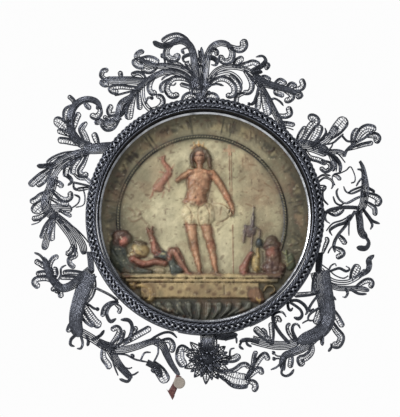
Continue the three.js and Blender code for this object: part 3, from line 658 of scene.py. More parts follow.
LEFT = [
    ("band", (5, 4.5), [-45, 34.8, -50, 34.5, -56, 34, -61, 34.5]),
    ("band", (3.8, 2.2), [-57.5, 34.8, -64, 38, -67, 43, -67.8, 49,
        -66.3, 54.5, -62.8, 58.2, -58.5, 59.3, -54.5, 58, -52.3, 54.5]),
    ("open", 2.2, [-52.8, 55.8, -53, 52, -55.3, 50.2, -57.3, 51.5]),
    ("open", 1.6, [-61, 58.8, -59, 55.5, -57.3, 54.5]),
    ("knot", 1, [-54, 54.8]),
    ("open", 1.4, [-65.7, 55, -66.2, 58.4, -68.8, 60.6]),
    ("open", 3, [-65.8, 56, -69.3, 53, -69, 47.5]),
    ("open", 3.6, [-62, 36.8, -69, 43.5, -73, 47, -75.8, 48]),
    ("open", 2, [-66, 40.5, -70.5, 42.2, -74, 43]),
    ("open", 2.2, [-62.5, 36, -69, 37.8, -73.7, 38]),
    ("open", 2, [-66.6, 42.3, -64.9, 48.5, -63, 52]),
    ("open", (3.5, 1.5), [-58, 35, -60.8, 41, -62, 44, -59.3, 47]),
    ("open", 2, [-53.5, 35.5, -55, 39.5, -56, 41.8]),
    ("band", (3, 2.5), [-58, 33, -66, 31, -72.5, 28, -78, 23.5]),
    ("open", 1, [-61, 32.6, -70, 31.5, -76, 29, -79, 26.3]),
    ("edge", 2, [-75, 26.2, -80.5, 25, -84, 25]),
    ("open", 2.5, [-76.5, 24.6, -82, 20.3, -85.5, 17, -87.5, 14.8]),
    ("open", 1.8, [-76.8, 23.5, -80.5, 17.7, -84, 14.8]),
    ("band", 2.2, [-58.5, 32.6, -68, 28, -73, 24, -76, 19, -77, 14]),
    ("open", 1, [-59, 32, -66, 27.3, -72, 23.7]),
    ("open", 2, [-66, 28.8, -69.3, 24, -69.5, 19.5]),
    ("open", 2, [-61.5, 30.5, -65.6, 25, -66, 20.7]),
    ("open", 1.8, [-58.5, 32, -60.8, 26.5, -62.8, 22.5, -60.8, 20.3, -58.7, 21.3]),
    ("edge", 2, [-69.3, 20.5, -67.3, 18.8, -66.8, 17, -68.5, 15.3]),
    ("open", 1.2, [-65.8, 21.3, -63, 19, -59.5, 18.5, -57.2, 16.3]),
    ("edge", 1.6, [-57.5, 15, -62, 16, -66.8, 17]),
    ("edge", 1.2, [-65.8, 16.5, -65.5, 14, -63.5, 12.9]),
    ("open", 1.2, [-58, 14.2, -61, 13.7, -63.8, 13.1]),
    ("edge", 0.8, [-61, 13.9, -60, 9.5, -60.7, 5.5, -64.5, 4.2]),
    ("edge", 1, [-66.8, 3.8, -63.5, 6.3, -62.8, 9.3, -65.3, 10.6]),
    ("band", 4, [-76, 20, -77, 14, -79, 9, -79.3, 4, -76.5, 0.5, -75, -1]),
    ("open", 1.8, [-75.5, 18, -72.5, 15.8, -71.3, 14.3]),
    ("open", 1.8, [-77, 13.5, -72.5, 9.2, -69.5, 8, -67.3, 9.3, -67.6, 12]),
    ("open", 1.3, [-78, 9.5, -72, 6.2, -68, 5.8]),
    ("band", 3, [-78, 4.2, -71, 3.5, -66.5, 3.8]),
    ("open", 1.2, [-73, 3.2, -70, 1.5, -66.7, -0.3]),
    ("open", 2, [-77.3, 12.5, -81.5, 10.5, -84, 8.3, -87, 6.3]),
    ("open", 4, [-78.5, 8.5, -83, 4.3, -85.6, 1.2]),
    ("open", 1.8, [-77.8, 2.5, -82.5, -0.8, -86.2, -1.7]),
    ("edge", 0.8, [-79, 1.6, -82.5, -3, -86.5, -4.6]),
    ("open", 1.5, [-76, 0, -79.5, -5.5, -81.5, -11.5]),
    ("band", 2.8, [-75.8, 0, -78, -8, -80.2, -17]),
    ("open", 2, [-75.3, -0.5, -76.3, -7.5, -76.2, -12.8]),
    ("band", 2.2, [-76, 0.8, -70.5, -6, -66.5, -11.8, -64.5, -18]),
    ("open", 1.8, [-65.5, -14, -67, -18, -69.3, -19.3]),
    ("band", (2.5, 3), [-75.5, 1, -68, -5.3, -63.3, -11, -61, -15, -60.3, -19.3]),
    ("edge", 0.9, [-74, 0.5, -65, -6, -60, -11, -58.3, -13.3]),
    ("open", 1.6, [-64.9, -16.3, -64.3, -20, -67.3, -21.7, -67, -24.3, -64.7, -26.2]),
]
LOWER_LEFT = [
    ("edge", 3, [-57.6, -18, -57, -22, -56.4, -29]),
    ("band", (4, 2.5), [-57, -27.5, -62, -31.5, -67, -35.3,
        -71.3, -36.2, -74.8, -33.3, -77.5, -28.8, -80.3, -20.8]),
    ("edge", 1.5, [-79.6, -23, -82, -20, -84.8, -18.7]),
    ("open", 1.8, [-78, -27.3, -81.5, -24.5, -84.6, -22.7]),
    ("open", 1.8, [-77, -29.3, -80.5, -28.7, -83.8, -29.5]),
    ("open", 2, [-74, -34, -78.5, -31.6, -83.3, -31.8, -84.7, -33.7, -82.3, -36]),
    ("open", 1.6, [-72.8, -35.2, -74.5, -36.6, -76.5, -36.5]),
    ("open", 1.4, [-72, -35.8, -73.2, -37.3, -74.5, -38.3]),
    ("open", 1.8, [-71.3, -35.8, -71.8, -38.5, -71.3, -41]),
    ("open", 1.6, [-76.7, -29.8, -77.2, -25, -75.7, -21.7, -73, -20.6]),
    ("open", 1.8, [-75.6, -31.8, -74.3, -29, -75, -25.8]),
    ("edge", 1.3, [-74, -33.8, -71.8, -30, -71.6, -26.5, -69.2, -24.9]),
    ("open", 1.6, [-58.5, -29, -67, -28.3, -70.5, -29]),
    ("open", 1.6, [-61, -31.2, -67, -31, -72.2, -31]),
    ("band", (7, 5), [-57.8, -29, -60.5, -37, -62.7, -44, -64, -50, -63.8, -56, -61.5, -60]),
    ("open", 1.1, [-55.5, -29, -54.9, -35, -56.3, -40, -59, -43.5]),
    ("edge", 1.2, [-60.5, -43.5, -57.5, -44.7, -55.3, -46.3, -53.6, -46.8]),
    ("knot", 0.9, [-53.4, -46.8]),
    ("open", 3, [-61.5, -42.5, -58.3, -48, -54.7, -53, -51.7, -55.2]),
    ("open", 2, [-62.5, -47.5, -58.7, -52.3, -55, -55]),
    ("open", 1.7, [-64.8, -52, -66.8, -55, -67.8, -58.2]),
    ("band", 3, [-63.3, -57, -58, -60, -54, -62.5, -50, -65, -45, -66.5]),
    ("edge", 1.5, [-62.8, -58.5, -66.2, -61.5, -66.6, -64.3, -64.7, -65.2]),
    ("edge", 1.5, [-61.8, -59, -60.6, -63.5, -61.4, -66.2, -63.2, -66.3]),
    ("edge", 1.6, [-58.8, -59.5, -57.8, -62.8, -58.3, -64.9]),
    ("edge", 1.5, [-56, -62, -52, -59.8, -50, -57.3]),
    ("edge", 4, [-53, -62.8, -49, -64.5, -44.5, -65.5]),
    ("open", 1.8, [-47.5, -65, -44, -60.8, -42.4, -57.6, -43.9, -55.9, -46.4, -57.3]),
    ("open", 1.4, [-45, -65.8, -41.5, -61.5, -40.3, -57.2]),
    ("edge", 1.8, [-39.5, -64, -37, -59.5, -36.2, -55, -38, -52.2, -41.7, -52]),
    ("open", 1.6, [-37.3, -62.3, -35.2, -57.5, -33.7, -55.6]),
    ("open", 2.2, [-45, -66, -37.5, -61.8, -31.5, -58.5, -27, -56]),
    ("band", (3, 2.2), [-46.5, -66.5, -40, -66.8, -33, -65, -27.5, -63, -22.5, -62.3]),
    ("band", (3.5, 1.4), [-24.5, -62.3, -20.8, -65, -19, -69, -16.5, -74, -12.7, -79.5]),
    ("open", 2, [-22.5, -62.7, -17.8, -62.2, -16, -65, -17, -68]),
    ("edge", 1.2, [-29.5, -63.8, -24.5, -60.3, -20, -58.3, -16.5, -58.5, -14, -60.8]),
    ("band", (3.5, 2.4), [-48, -65, -45, -70.5, -41.5, -75.5, -36.3, -81]),
    ("open", 2, [-50.3, -64.5, -50.3, -70.5, -48, -74, -47, -76.3]),
    ("edge", 0.9, [-47, -67, -45.2, -74, -43, -79.5]),
    ("edge", 1.5, [-36.6, -80, -38.3, -82.5, -42.2, -81.3]),
    ("edge", 0.9, [-39.6, -77.6, -36, -79.3, -33, -77.8]),
    ("edge", 0.9, [-43, -73.7, -38.5, -76, -36.2, -75.7]),
    ("edge", 1.1, [-46, -69, -39.5, -69.2, -34.5, -71.6, -28, -73]),
    ("knot", 1.1, [-36, -70]),
    ("edge", 1.1, [-32, -72.5, -30, -68.5, -27, -68.2]),
    ("edge", 3, [-28.8, -73, -26, -74.5, -23, -77, -22, -80.5]),
    ("open", 4, [-26, -73, -22, -78, -19, -83]),
    ("edge", 1, [-23.5, -63, -23.3, -68.5, -25.8, -73.5]),
    ("edge", 1, [-24.3, -75.3, -26.5, -76.8, -25, -78.3]),
    ("edge", 1.6, [-43.3, -42.3, -48, -39.2, -55.2, -35.8]),
    ("open", 1.4, [-43, -42.8, -47.3, -43.9, -50, -46.5, -50.8, -50.5]),
    ("edge", 1.8, [-43, -43, -47, -45, -48.8, -49, -47, -52.8, -44.2, -51.5]),
    ("open", 1.3, [-45, -43.8, -42.3, -46.3, -43, -48.8]),
]
FOOT = [
    ("band", 6, [1.3, -58.6, 1.3, -68]),
    ("open", 2.5, [8, -71.5, 12, -71.5, 15, -71, 17, -69.2]),
    ("open", 3, [-7, -68, -11.5, -66, -12.4, -71, -10, -75]),
    ("edge", 1, [12.3, -70.5, 12.6, -66.8, 14.5, -66]),
    ("edge", 1, [10, -62, 15, -60.5, 15.7, -63.5]),
    ("edge", 3, [4, -59.5, 10, -60.5, 16, -59.3]),
    ("open", 5, [6, -77.5, 13, -80.5, 18, -81.8, 22, -81.8]),
    ("open", 1.2, [8, -79.5, 13, -84, 17, -85.2, 21, -84.8]),
    ("open", 2, [20, -82, 24, -83, 25, -85.3, 23.5, -87]),
    ("open", 1.6, [7.5, -78, 14, -77, 18, -74.4, 20.5, -74.3, 21.5, -76]),
    ("open", 1.4, [19.5, -81.5, 23.3, -75.5, 24.3, -70, 25.3, -67.5]),
    ("open", 1.8, [20.5, -81.5, 25.3, -74, 28, -70.2, 30, -69.2, 31.3, -72]),
    ("open", 1.8, [20.5, -81.8, 24.5, -77.6, 27.3, -76.5, 28, -79]),
]
LOWER_RIGHT = [
    ("edge", 3, [57.6, -18, 57.1, -22, 56.6, -28.5]),
    ("open", 1.3, [58.8, -18.5, 60.5, -14, 61.2, -12, 60.2, -10.8]),
    ("band", (8, 5), [57.5, -27.5, 59, -36, 60.5, -44, 61, -50,
        59.5, -55, 56, -58.5, 51, -60.8, 46, -62.8]),
    ("band", 3.5, [23.5, -61.7, 29, -63.3, 35, -64.5, 41, -64.3, 47, -62.2]),
    ("edge", 2, [27, -62.7, 21, -61.8, 17.2, -62.6]),
    ("edge", 1.2, [18.5, -62, 17.3, -65, 19, -66.5]),
    ("edge", 1.2, [20.5, -61.8, 21, -64, 23, -65.2]),
    ("open", 2.4, [34, -64, 30, -60.3, 27, -58, 24.7, -55.8]),
    ("open", 1.8, [33.5, -63.5, 33.3, -58, 32.7, -53.3]),
    ("open", 1.2, [30.5, -60.6, 29.8, -57.8, 28, -56.5]),
    ("edge", 1.6, [42, -63.5, 37.5, -58.5, 34.7, -54, 33.8, -50.3, 35.5, -48.3, 38.5, -48, 40.3, -50.3]),
    ("open", 1.3, [34.8, -54, 36, -50.5, 37.5, -53]),
    ("open", 1, [44.5, -62.5, 41.5, -58, 41, -55, 42.3, -54]),
    ("edge", 1.5, [45.8, -62, 43.6, -57.5, 44, -54.5, 46, -54, 47.3, -56]),
    ("open", 2, [62.3, -45, 65.8, -50.5, 68.3, -55.5]),
    ("open", 2.5, [61.3, -50, 65, -56.5, 67.7, -60.5, 66, -64.3, 63, -64]),
    ("edge", 1.8, [58.8, -56, 58.2, -61.5, 58.3, -64.5]),
    ("edge", 1.6, [63, -63.6, 62.8, -65.6, 61.3, -67.4]),
    ("band", (3.5, 2.5), [57, -58.5, 50, -65, 45, -67.5, 40, -69.5, 38.5, -73, 39, -77]),
    ("open", 2.5, [53, -62.3, 53, -67.3, 50, -70.5, 47.2, -71.5, 48.5, -74.7]),
    ("open", 1.8, [42.8, -68.3, 42.7, -72, 42, -75.6]),
    ("edge", 1.5, [38.9, -74.5, 38, -78.3, 40, -79.7, 42.5, -78.7, 44, -76.5]),
    ("edge", 1.1, [39, -71.5, 36, -75, 32.8, -76.6]),
    ("edge", 1, [40, -69.8, 36, -69.8, 34.2, -68.5]),
    ("knot", 0.9, [34, -68.3]),
    ("edge", 1, [39, -71.5, 36.5, -71, 34.4, -71.3]),
    ("knot", 0.9, [34.2, -71.3]),
    ("open", 1.5, [58, -37.3, 54, -38.5, 44.5, -39.6]),
    ("open", 1.5, [55.5, -28, 54.7, -32, 54, -38.3]),
    ("edge", 1.3, [56.5, -39.5, 54, -42.5, 52, -45.8, 52.3, -47.5, 54, -46.3]),
    ("edge", 1.3, [58, -45.3, 53, -48.3, 51.3, -50.8, 52, -52.2, 54, -52]),
    ("edge", 0.8, [51.8, -51.8, 50, -52.6, 48.5, -53.5]),
    ("open", 2.5, [58.7, -42.5, 56.8, -49, 54.8, -54]),
    ("edge", 1.4, [42, -42.4, 46, -42.2, 49.5, -44.5, 51, -47.5, 50, -49.3]),
    ("edge", 1.8, [42, -42.9, 45, -44.8, 47.6, -47, 48.3, -49.6, 46.7, -51.3, 44.3, -50.7]),
    ("edge", 1.3, [41.2, -43, 41.5, -46, 42.7, -47.2, 43.6, -46]),
    ("band", 1.8, [58, -26.5, 62, -31.3, 66, -33, 71, -33, 75, -31.2, 78, -29, 80, -26.5]),
    ("edge", 2.5, [76.5, -30, 81, -27.5, 82.2, -24.5, 82, -21.7, 84.4, -19.3]),
    ("open", 3, [73, -32, 75, -27.5, 76.7, -24.3]),
    ("band", 2, [58.5, -32, 65, -35.6, 71, -36.2, 76.5, -36, 82, -37]),
    ("open", 1.8, [75, -35.8, 79.5, -32.7, 82.3, -32.2, 83.2, -33.8, 82, -35.8]),
    ("edge", 1.2, [72.5, -36.2, 76.5, -38.6, 80.5, -38.9]),
    ("edge", 1.2, [70, -36, 71.2, -38.5, 70, -40.5, 68.7, -40.3]),
    ("edge", 0.9, [58.3, -24, 62, -26.8, 65, -29.5, 69, -31, 71.5, -29.8]),
    ("edge", 0.9, [62, -26.8, 63, -24.8, 65, -23.7, 65.5, -24.9]),
    ("edge", 1.2, [62.5, -27.5, 67, -26, 70.5, -27.5, 72.3, -26.3, 70.5, -25]),
    ("edge", 2, [60, -35, 63, -39.5, 65.3, -41.8]),
]
RIGHT = [
    ("edge", (1.2, 4.5), [78, 28.3, 79.5, 25, 80.2, 20, 80.5, 15, 80.3, 10]),
    ("edge", (5, 4), [80.4, 13, 79.3, 6, 76.5, 2]),
    ("edge", 0.9, [80, 21.5, 78.5, 23.7, 76.7, 24]),
    ("edge", 1.4, [80, 14.5, 77, 13, 73.5, 11.7, 70.8, 12.7, 69.7, 15.1]),
    ("edge", 1, [79.5, 15.5, 75, 13.8, 72, 12.2]),
    ("edge", 1.6, [79, 10.5, 76, 9.3, 71, 6.8, 67.5, 8.5, 66, 12, 66.8, 14]),
    ("edge", 0.8, [70, 7, 68, 5.8, 65.5, 7, 64.3, 10]),
    ("edge", 1.6, [77.5, 4.3, 74, 4.7, 68, 4.5, 62, 3, 60.2, 0.5, 60.6, -2, 62.5, -3.5]),
    ("edge", 2.5, [57.3, 1.2, 59, 1.3, 61, 1.5]),
    ("open", 2, [61.8, 2.6, 65, 1.5, 67.5, 2.5, 69, 4.6]),
    ("edge", 1, [80, 20, 78, 18.6, 76, 15.5]),
    ("edge", 1.2, [81.3, 15, 84.8, 12.9, 84, 11.5]),
    ("open", 2.2, [81, 12, 86, 10, 87.4, 7.7, 85.5, 6]),
    ("open", 1.6, [80, 8, 84.8, 4.5, 85, 0.5]),
    ("edge", 0.8, [73, 1, 69, -1.7, 64, -3.5, 60.8, -7.2]),
    ("edge", 1.5, [73.5, 0.5, 70, -3, 66, -4.5, 62.5, -7, 63.5, -9.5]),
    ("edge", 1.6, [75.5, 3, 70.5, -4.5, 66.5, -9.5, 64.5, -14, 65, -18]),
    ("open", 1.8, [64.6, -15.5, 68, -17, 68.7, -19, 65.5, -20.8]),
    ("open", 1.8, [66.7, -9, 68.7, -11.3, 70.3, -14]),
    ("edge", 1, [72.5, -1, 72, -6, 72, -9.5]),
    ("edge", 3, [77, 3, 77.7, -2, 78.3, -7.5, 81, -10.8]),
    ("edge", 2.4, [80, -9.5, 82, -13, 80.3, -16, 76, -15.5]),
    ("edge", 1.2, [79, 4.5, 82, 0.5, 84, -2, 87.5, -3.5]),
    ("edge", 1.1, [80.3, 2.5, 83.8, -3.5, 83, -6.3]),
    ("edge", 0.8, [64.6, -14, 62.5, -16.5, 61.5, -18.5]),
]
UPPER_RIGHT = [
    ("band", 4.5, [45.5, 36.5, 52, 36, 57, 34.5, 62, 32.5]),
    ("band", 3, [53.5, 35.3, 60, 38, 64, 42, 66.5, 46]),
    ("open", 4.5, [62.5, 40, 67.5, 45.5, 71, 49.8]),
    ("edge", 1.3, [58, 36.5, 64, 37.3, 67, 39.5, 69.7, 42]),
    ("edge", 0.8, [64.5, 37.8, 63.8, 35.5, 61.5, 32.8]),
    ("edge", 0.9, [69, 41.5, 71.5, 38.6, 74, 38.2, 76.5, 38.5]),
    ("open", 2, [46.3, 37.8, 48.5, 42, 51, 45.3]),
    ("open", 3, [49, 37, 53, 45, 56, 48.3, 54.3, 50, 52, 49.5]),
    ("open", 3, [52.5, 36, 56.5, 42, 57.8, 46.3]),
    ("edge", 1.5, [54.5, 35.5, 59.5, 40, 61, 42.8, 60.5, 44.8]),
    ("band", 2, [57, 34, 62, 33, 67, 33, 70.5, 32]),
    ("edge", 1.6, [70, 30.3, 71.3, 33.5, 74.5, 36.5, 79, 39, 82.5, 41.5, 85, 44]),
    ("open", 3, [75.5, 37.8, 78.7, 43, 82, 45, 86, 43.8]),
    ("open", 2, [74.5, 36.5, 75.3, 42, 77.5, 44.3]),
    ("open", 2.5, [81.5, 41, 85.5, 41.3, 87, 39.8, 85.5, 37.5]),
    ("open", 1.5, [72, 34, 79, 36.3, 84.5, 37.3]),
    ("edge", 1.6, [60, 33, 65.5, 30, 68, 26, 67.8, 22]),
    ("edge", 1, [62, 32, 66, 27.5, 66, 23]),
    ("edge", 1, [66, 33, 68.5, 30.3, 70.5, 27.5]),
    ("edge", 0.8, [67.9, 22.3, 65, 21.5, 64, 19.5, 65.3, 16]),
    ("open", 1.2, [64.6, 21, 66.5, 20.5, 68, 18.5]),
    ("edge", 0.8, [67.5, 21.8, 71, 23.5, 73.3, 25.3, 75.3, 21, 75.3, 17.8, 73.5, 17]),
    ("open", 1.8, [50.3, 34.5, 52.7, 30.3, 57, 28.7, 61, 26.7]),
    ("open", 1.5, [58.5, 28.3, 62.7, 27, 63, 24.5, 60.5, 23, 58, 24.8]),
    ("open", 1, [62.5, 31.5, 65, 26, 64, 23]),
    ("edge", 1, [55.5, 18.5, 59, 21, 63, 20.8]),
    ("edge", 1, [56.5, 17, 60, 19.6, 63.2, 18.6, 64.4, 16.3, 63.5, 14]),
    ("open", 1, [57, 15.5, 60.3, 15, 58.8, 12.9]),
    ("edge", 0.8, [59.3, 13.8, 59.3, 9, 61.7, 5.9]),
]

# The sprays: their rows and the angles, in degrees, between which each is soldered behind the border
SPRAYS = {
    "crest_spray": (CREST, 45, 135),
    "left_spray": (LEFT, 138, 195),
    "lower_left_spray": (LOWER_LEFT, 197, 255),
    "foot_rosette": (FOOT, 257, 289),
    "lower_right_spray": (LOWER_RIGHT, 292, 346),
    "right_spray": (RIGHT, 348, 367),
    "upper_right_spray": (UPPER_RIGHT, 10, 43),
}
EDGE_TURN = math.radians(62)
LEAF_TILT = 0.32
CURL_STEPS = 9
EYELET_LENGTH = 0.72
DARK, GREY, LIGHT = 0.25, 0.75, 1.0


def across(path, side, u, depth):
    """Points of a leaf at u millimetres to the left of its middle line, at a depth."""
    place = path + side * np.reshape(u, (-1, 1))
    return np.stack([place[:, 0], np.broadcast_to(depth, len(place)), place[:, 1]], axis=1)


def leaf_half_width(width, run, t, fullness):
    """Half the width along an open leaf, which swells from its root and ends round."""
    root, tip = width if isinstance(width, tuple) else (width, width)
    half = 0.5 * fullness * (root + (tip - root) * t)
    swell = 0.4 + 0.6 * np.sin(np.minimum(t / 0.62, 1) * math.pi / 2)
    turn = max(0.45, 1 - half.max() / run)
    close = np.sqrt(np.clip(1 - (np.clip(t - turn, 0, 1) / (1 - turn)) ** 2, 0, 1))
    return half * swell * close


def eyelets(path, side, low, high, depth, tilt, run, wire):
    """Small rings of fine wire, one after another along a leaf, that fill it from low to high across."""
    where, phase = np.linspace(0, 1, len(path)), np.linspace(0, FULL_TURN, CURL_STEPS)
    depth, centre, reach = np.broadcast_to(depth, len(path)), (low + high) / 2, (high - low) / 2
    reach = np.abs(reach)
    size = min(reach.max(), EYELET_LENGTH)
    if size < 0.25:
        return []
    number = max(1, int(run / (1.62 * size)))
    chance = random.Random(round(100 * run + 10 * centre.sum()))
    rings = []
    for k in range(number):
        middle = 0.02 + 0.96 * (k + 0.5 + chance.uniform(-0.16, 0.16)) / number
        wide = np.interp(middle, where, reach) * chance.uniform(0.82, 1.1)
        if wide < 0.25:
            continue
        t = np.clip(middle + size * chance.uniform(0.8, 1.15) * np.sin(phase + k) / run, 0, 1)
        flat, aside = (
            np.stack([np.interp(t, where, rows[:, axis]) for axis in (0, 1)], axis=1) for rows in (path, side))
        u = np.interp(t, where, centre) + wide * np.cos(phase + k)
        deep = np.interp(t, where, depth) + u * tilt + chance.uniform(-0.2, 0.2)
        # A random tint for each ring: partly random tone and, above 1, a painted highlight.
        rings.append((across(flat, aside, u, deep), wire * chance.uniform(0.8, 1.25), chance.uniform(0.5, 1.25)))
    return rings


def open_leaf(width, flat, depth, tilt):
    """Strong wire where the leaf bulges, thinner wire on its hollow side and eyelets between, rising to the tip."""
    chosen = settings("foliage")
    outline, fine = chosen.outline / MM, chosen.curl / MM
    path, side, run = smooth_path(flat, 0.45)
    t = np.linspace(0, 1, len(path))
    half = leaf_half_width(width, run, t, chosen.open_width)
    middle = depth + chosen.lift / MM * t**2 * min(1, run / 10)
    step = np.diff(path, axis=0)
    bend = np.sum(step[:-1, 0] * step[1:, 1] - step[:-1, 1] * step[1:, 0])
    bulge = -1 if bend > 0 else 1

    def line(u, first=0, last=None):
        return across(path, side, bulge * u, middle + bulge * u * tilt)[first:last]

    wires = [(line(half), outline, 0.4), (line(-half), 0.72 * outline, 0.5)]
    thick = outline
    if half.max() > 0.9:
        thick = 2.3 * outline
        wires.append((line(np.clip(half - 1.3 * outline, 0, None), 1, -2), outline, 0.45))
    rows = 1 if 2 * half.max() - thick < 1.9 else 2
    low, high = -half + 0.4 * outline, np.maximum(half - thick, -half + 0.4 * outline)
    if rows == 2:
        vein = low + 0.5 * (high - low)
        wires.append((line(vein, 0, int(0.92 * len(t))), 0.5 * outline, GREY))
    for k in range(rows):
        inner, outer = low + (high - low) * k / rows, low + (high - low) * (k + 1) / rows
        wires += eyelets(path, side, bulge * inner, bulge * outer, middle, tilt, run, fine)
    return wires


def band_leaf(width, flat, depth, tilt):
    """Drawn wires side by side, arched across, that close together at the tip."""
    chosen = settings("foliage")
    path, side, run = smooth_path(flat, 0.6)
    t = np.linspace(0, 1, len(path))
    root, tip = width if isinstance(width, tuple) else (width, width)
    half = 0.5 * 1.12 * (root + (tip - root) * t)
    half *= np.sqrt(np.clip(1.02 - np.clip((t - 0.86) / 0.14, 0, 1) ** 2, 0, 1))
    wires = max(3, round(2 * half.max() / (chosen.spacing / MM)))
    arch = 0.42 * half.max()
    made = []
    for k in range(wires):
        u = 2 * k / (wires - 1) - 1
        deep = depth + 0.8 * np.sin(math.pi * t) + arch * (1 - u * u) + u * half * tilt
        outer = k in (0, wires - 1)
        made.append((across(path, side, u * half, deep), chosen.vein / MM, GREY if outer or k % 2 else LIGHT))
    return made


def edge_leaf(width, flat, depth, tilt):
    """A leaf turned on its edge: wires side by side on a steep slope, which look narrow and dark."""
    chosen = settings("foliage")
    path, side, run = smooth_path(flat, 0.6)
    t = np.linspace(0, 1, len(path))
    root, tip = width if isinstance(width, tuple) else (width, width)
    half = 0.5 * (root + (tip - root) * t) * np.sqrt(np.clip(1.04 - np.clip((t - 0.8) / 0.2, 0, 1) ** 2, 0, 1))
    slope = math.tan(EDGE_TURN) * (1 if tilt > 0 else -1)
    lift = min(half.max() * abs(slope), 2.6)
    wires = max(2, round(2 * lift / 0.8))
    made = []
    for k in range(wires):
        u = 2 * k / (wires - 1) - 1
        deep = depth + 0.4 + lift * u * np.sign(slope) * half / half.max() + 0.9 * t
        made.append((across(path, side, u * np.clip(half - 0.3, 0.05, None), deep), 0.33, DARK + 0.2))
    return made


def knot(radius, flat, depth, tilt):
    """A wire coiled up tight."""
    phase = np.linspace(0, 2.4 * FULL_TURN, 40)
    away = radius * (0.12 + 0.88 * phase / phase[-1])
    coil = np.stack([flat[0] + away * np.cos(phase), depth + 1.2 - 0.5 * away, flat[1] + away * np.sin(phase)], axis=1)
    return [(coil, 0.3, DARK + 0.2)]


LEAVES = {"band": band_leaf, "open": open_leaf, "edge": edge_leaf, "knot": knot}


def spray_wires(rows, chance):
    """All the wires of a spray, with each leaf tilted a little its own way."""
    wires = []
    for kind, width, flat in rows:
        tilt = chance.uniform(-LEAF_TILT, LEAF_TILT)
        depth = LEAF_DEPTH + chance.uniform(-0.3, 0.9)
        wires += LEAVES[kind](width, flat, depth, tilt)
    return wires


def base_wires(start, end):
    """The wires laid side by side behind the border, which a spray is soldered to."""
    radii = np.linspace(BORDER_INNER + 0.6, BORDER_RADIUS - 0.3, 8)
    return [(arc(radius, start, end, LEAF_DEPTH), 0.45, GREY) for radius in radii]


ROSETTE_X, ROSETTE_Z = 1.3, -71.6
ROSETTE_LAYERS = [
    # petals, length, width, depth at the root and at the tip, turn in degrees
    (11, 12.2, 4.6, 4.0, 4.6, 4),
    (11, 10.4, 3.4, 5.0, 6.6, 20),
    (9, 7.2, 2.4, 5.8, 8.2, 8),
]


def petal(angle, reach, width, low, high):
    """A pointed petal of the rosette, with its outline, middle wire and curls."""
    path, side, run = smooth_path(
        [ROSETTE_X, ROSETTE_Z, ROSETTE_X + reach * math.cos(angle), ROSETTE_Z + reach * math.sin(angle)], 0.5)
    t = np.linspace(0, 1, len(path))
    half = 0.5 * width * np.sin(math.pi * t**0.75) ** 0.8
    deep = low + (high - low) * t**1.5
    edges = [across(path, side, u * half, deep) for u in (1, -1)]
    return [
        (np.vstack([edges[0], edges[1][::-1][1:]]), 0.34, DARK),
        (across(path, side, 0 * t, deep + 0.3), 0.3, DARK),
        *eyelets(path, side, 0.3 - half, half - 0.3, deep, 0, run, 0.16),
    ]


def rosette_wires():
    wires = []
    for petals, reach, width, low, high, turn in ROSETTE_LAYERS:
        for k in range(petals):
            angle = math.radians(turn) + FULL_TURN * k / petals
            wires += petal(angle, reach * (0.9 if k % 2 else 1), width, low, high)
    phase = np.linspace(0, 5 * FULL_TURN, 90)
    away = 0.3 + 2.6 * phase / phase[-1]
    hub = np.stack([
        ROSETTE_X + away * np.cos(phase), 8.2 - 0.22 * away**2, ROSETTE_Z + away * np.sin(phase)], axis=1)
    return [*wires, (hub, 0.36, DARK)]


def rosette_grains():
    """The small bright balls round the rosette's hub and on its petals."""
    places_of = []
    for number, away, depth in ((9, 3.3, 7.4), (11, 6.6, 6.9)):
        for k in range(number):
            angle = FULL_TURN * (k + 0.4) / number
            places_of.append((ROSETTE_X + away * math.cos(angle), depth, ROSETTE_Z + away * math.sin(angle)))
    return grains("rosette_grains", places_of, [0.62] * 9 + [0.45] * 11, LIGHT, finish_of("silver"))


def build_spray(node):
    rows, start, end = SPRAYS[node]
    chance = random.Random(settings("foliage").seed * len(node))
    wires = base_wires(start, end) + spray_wires(rows, chance)
    if node == "foot_rosette":
        wires += rosette_wires()
    name = node.replace("spray", "foliage").replace("foot_rosette", "foot_foliage")
    piece = swept_wires(name, wires, finish_of("silver"), sides=5)
    if node == "foot_rosette":
        piece = joined(piece, rosette_grains())
    return finished(piece, "silver", node)


# Case, bezel and border


def build_case():
    """The dish of sheet silver, with a rolled lip."""
    outer, inner = CASE_RADIUS, CASE_RADIUS - CASE_WALL
    lip = CASE_LIP
    profile = [
        [0, 0], [outer - 0.8, 0], [outer - 0.25, 0.2], [outer, 0.7], [outer, lip - 0.5], [outer - 0.12, lip - 0.15],
        [outer - 0.4, lip], [inner + 0.12, lip - 0.15], [inner, lip - 0.5], [inner, CASE_WALL + 0.4], [0, CASE_WALL],
    ]
    # Tints down the profile: brightest on the lip, nearly black on the inner wall and floor, which is tarnish and
    # painted shade in the recess.
    shades = [0.8, 0.8, 0.8, 0.7, 0.7, 0.8, 1, 0.5, 0.18, 0.1, 0.1]
    return finished(turned("case", profile, finish_of("silver"), tint=shades), "silver", "silver_case")


def build_bezel():
    """The rubbed ring that holds the wax, with a face that slopes inwards."""
    outer, inner = BEZEL_RADIUS, BEZEL_RADIUS - 1.05
    back, front = BEZEL_BACK, BEZEL_FRONT
    profile = [
        [inner, back], [outer, back], [outer, front], [outer - 0.18, front], [outer - 0.55, front - 0.75],
        [inner + 0.06, back + 0.3],
    ]
    return finished(turned("bezel", profile, finish_of("bezel")), "bright_silver", "inner_bezel")


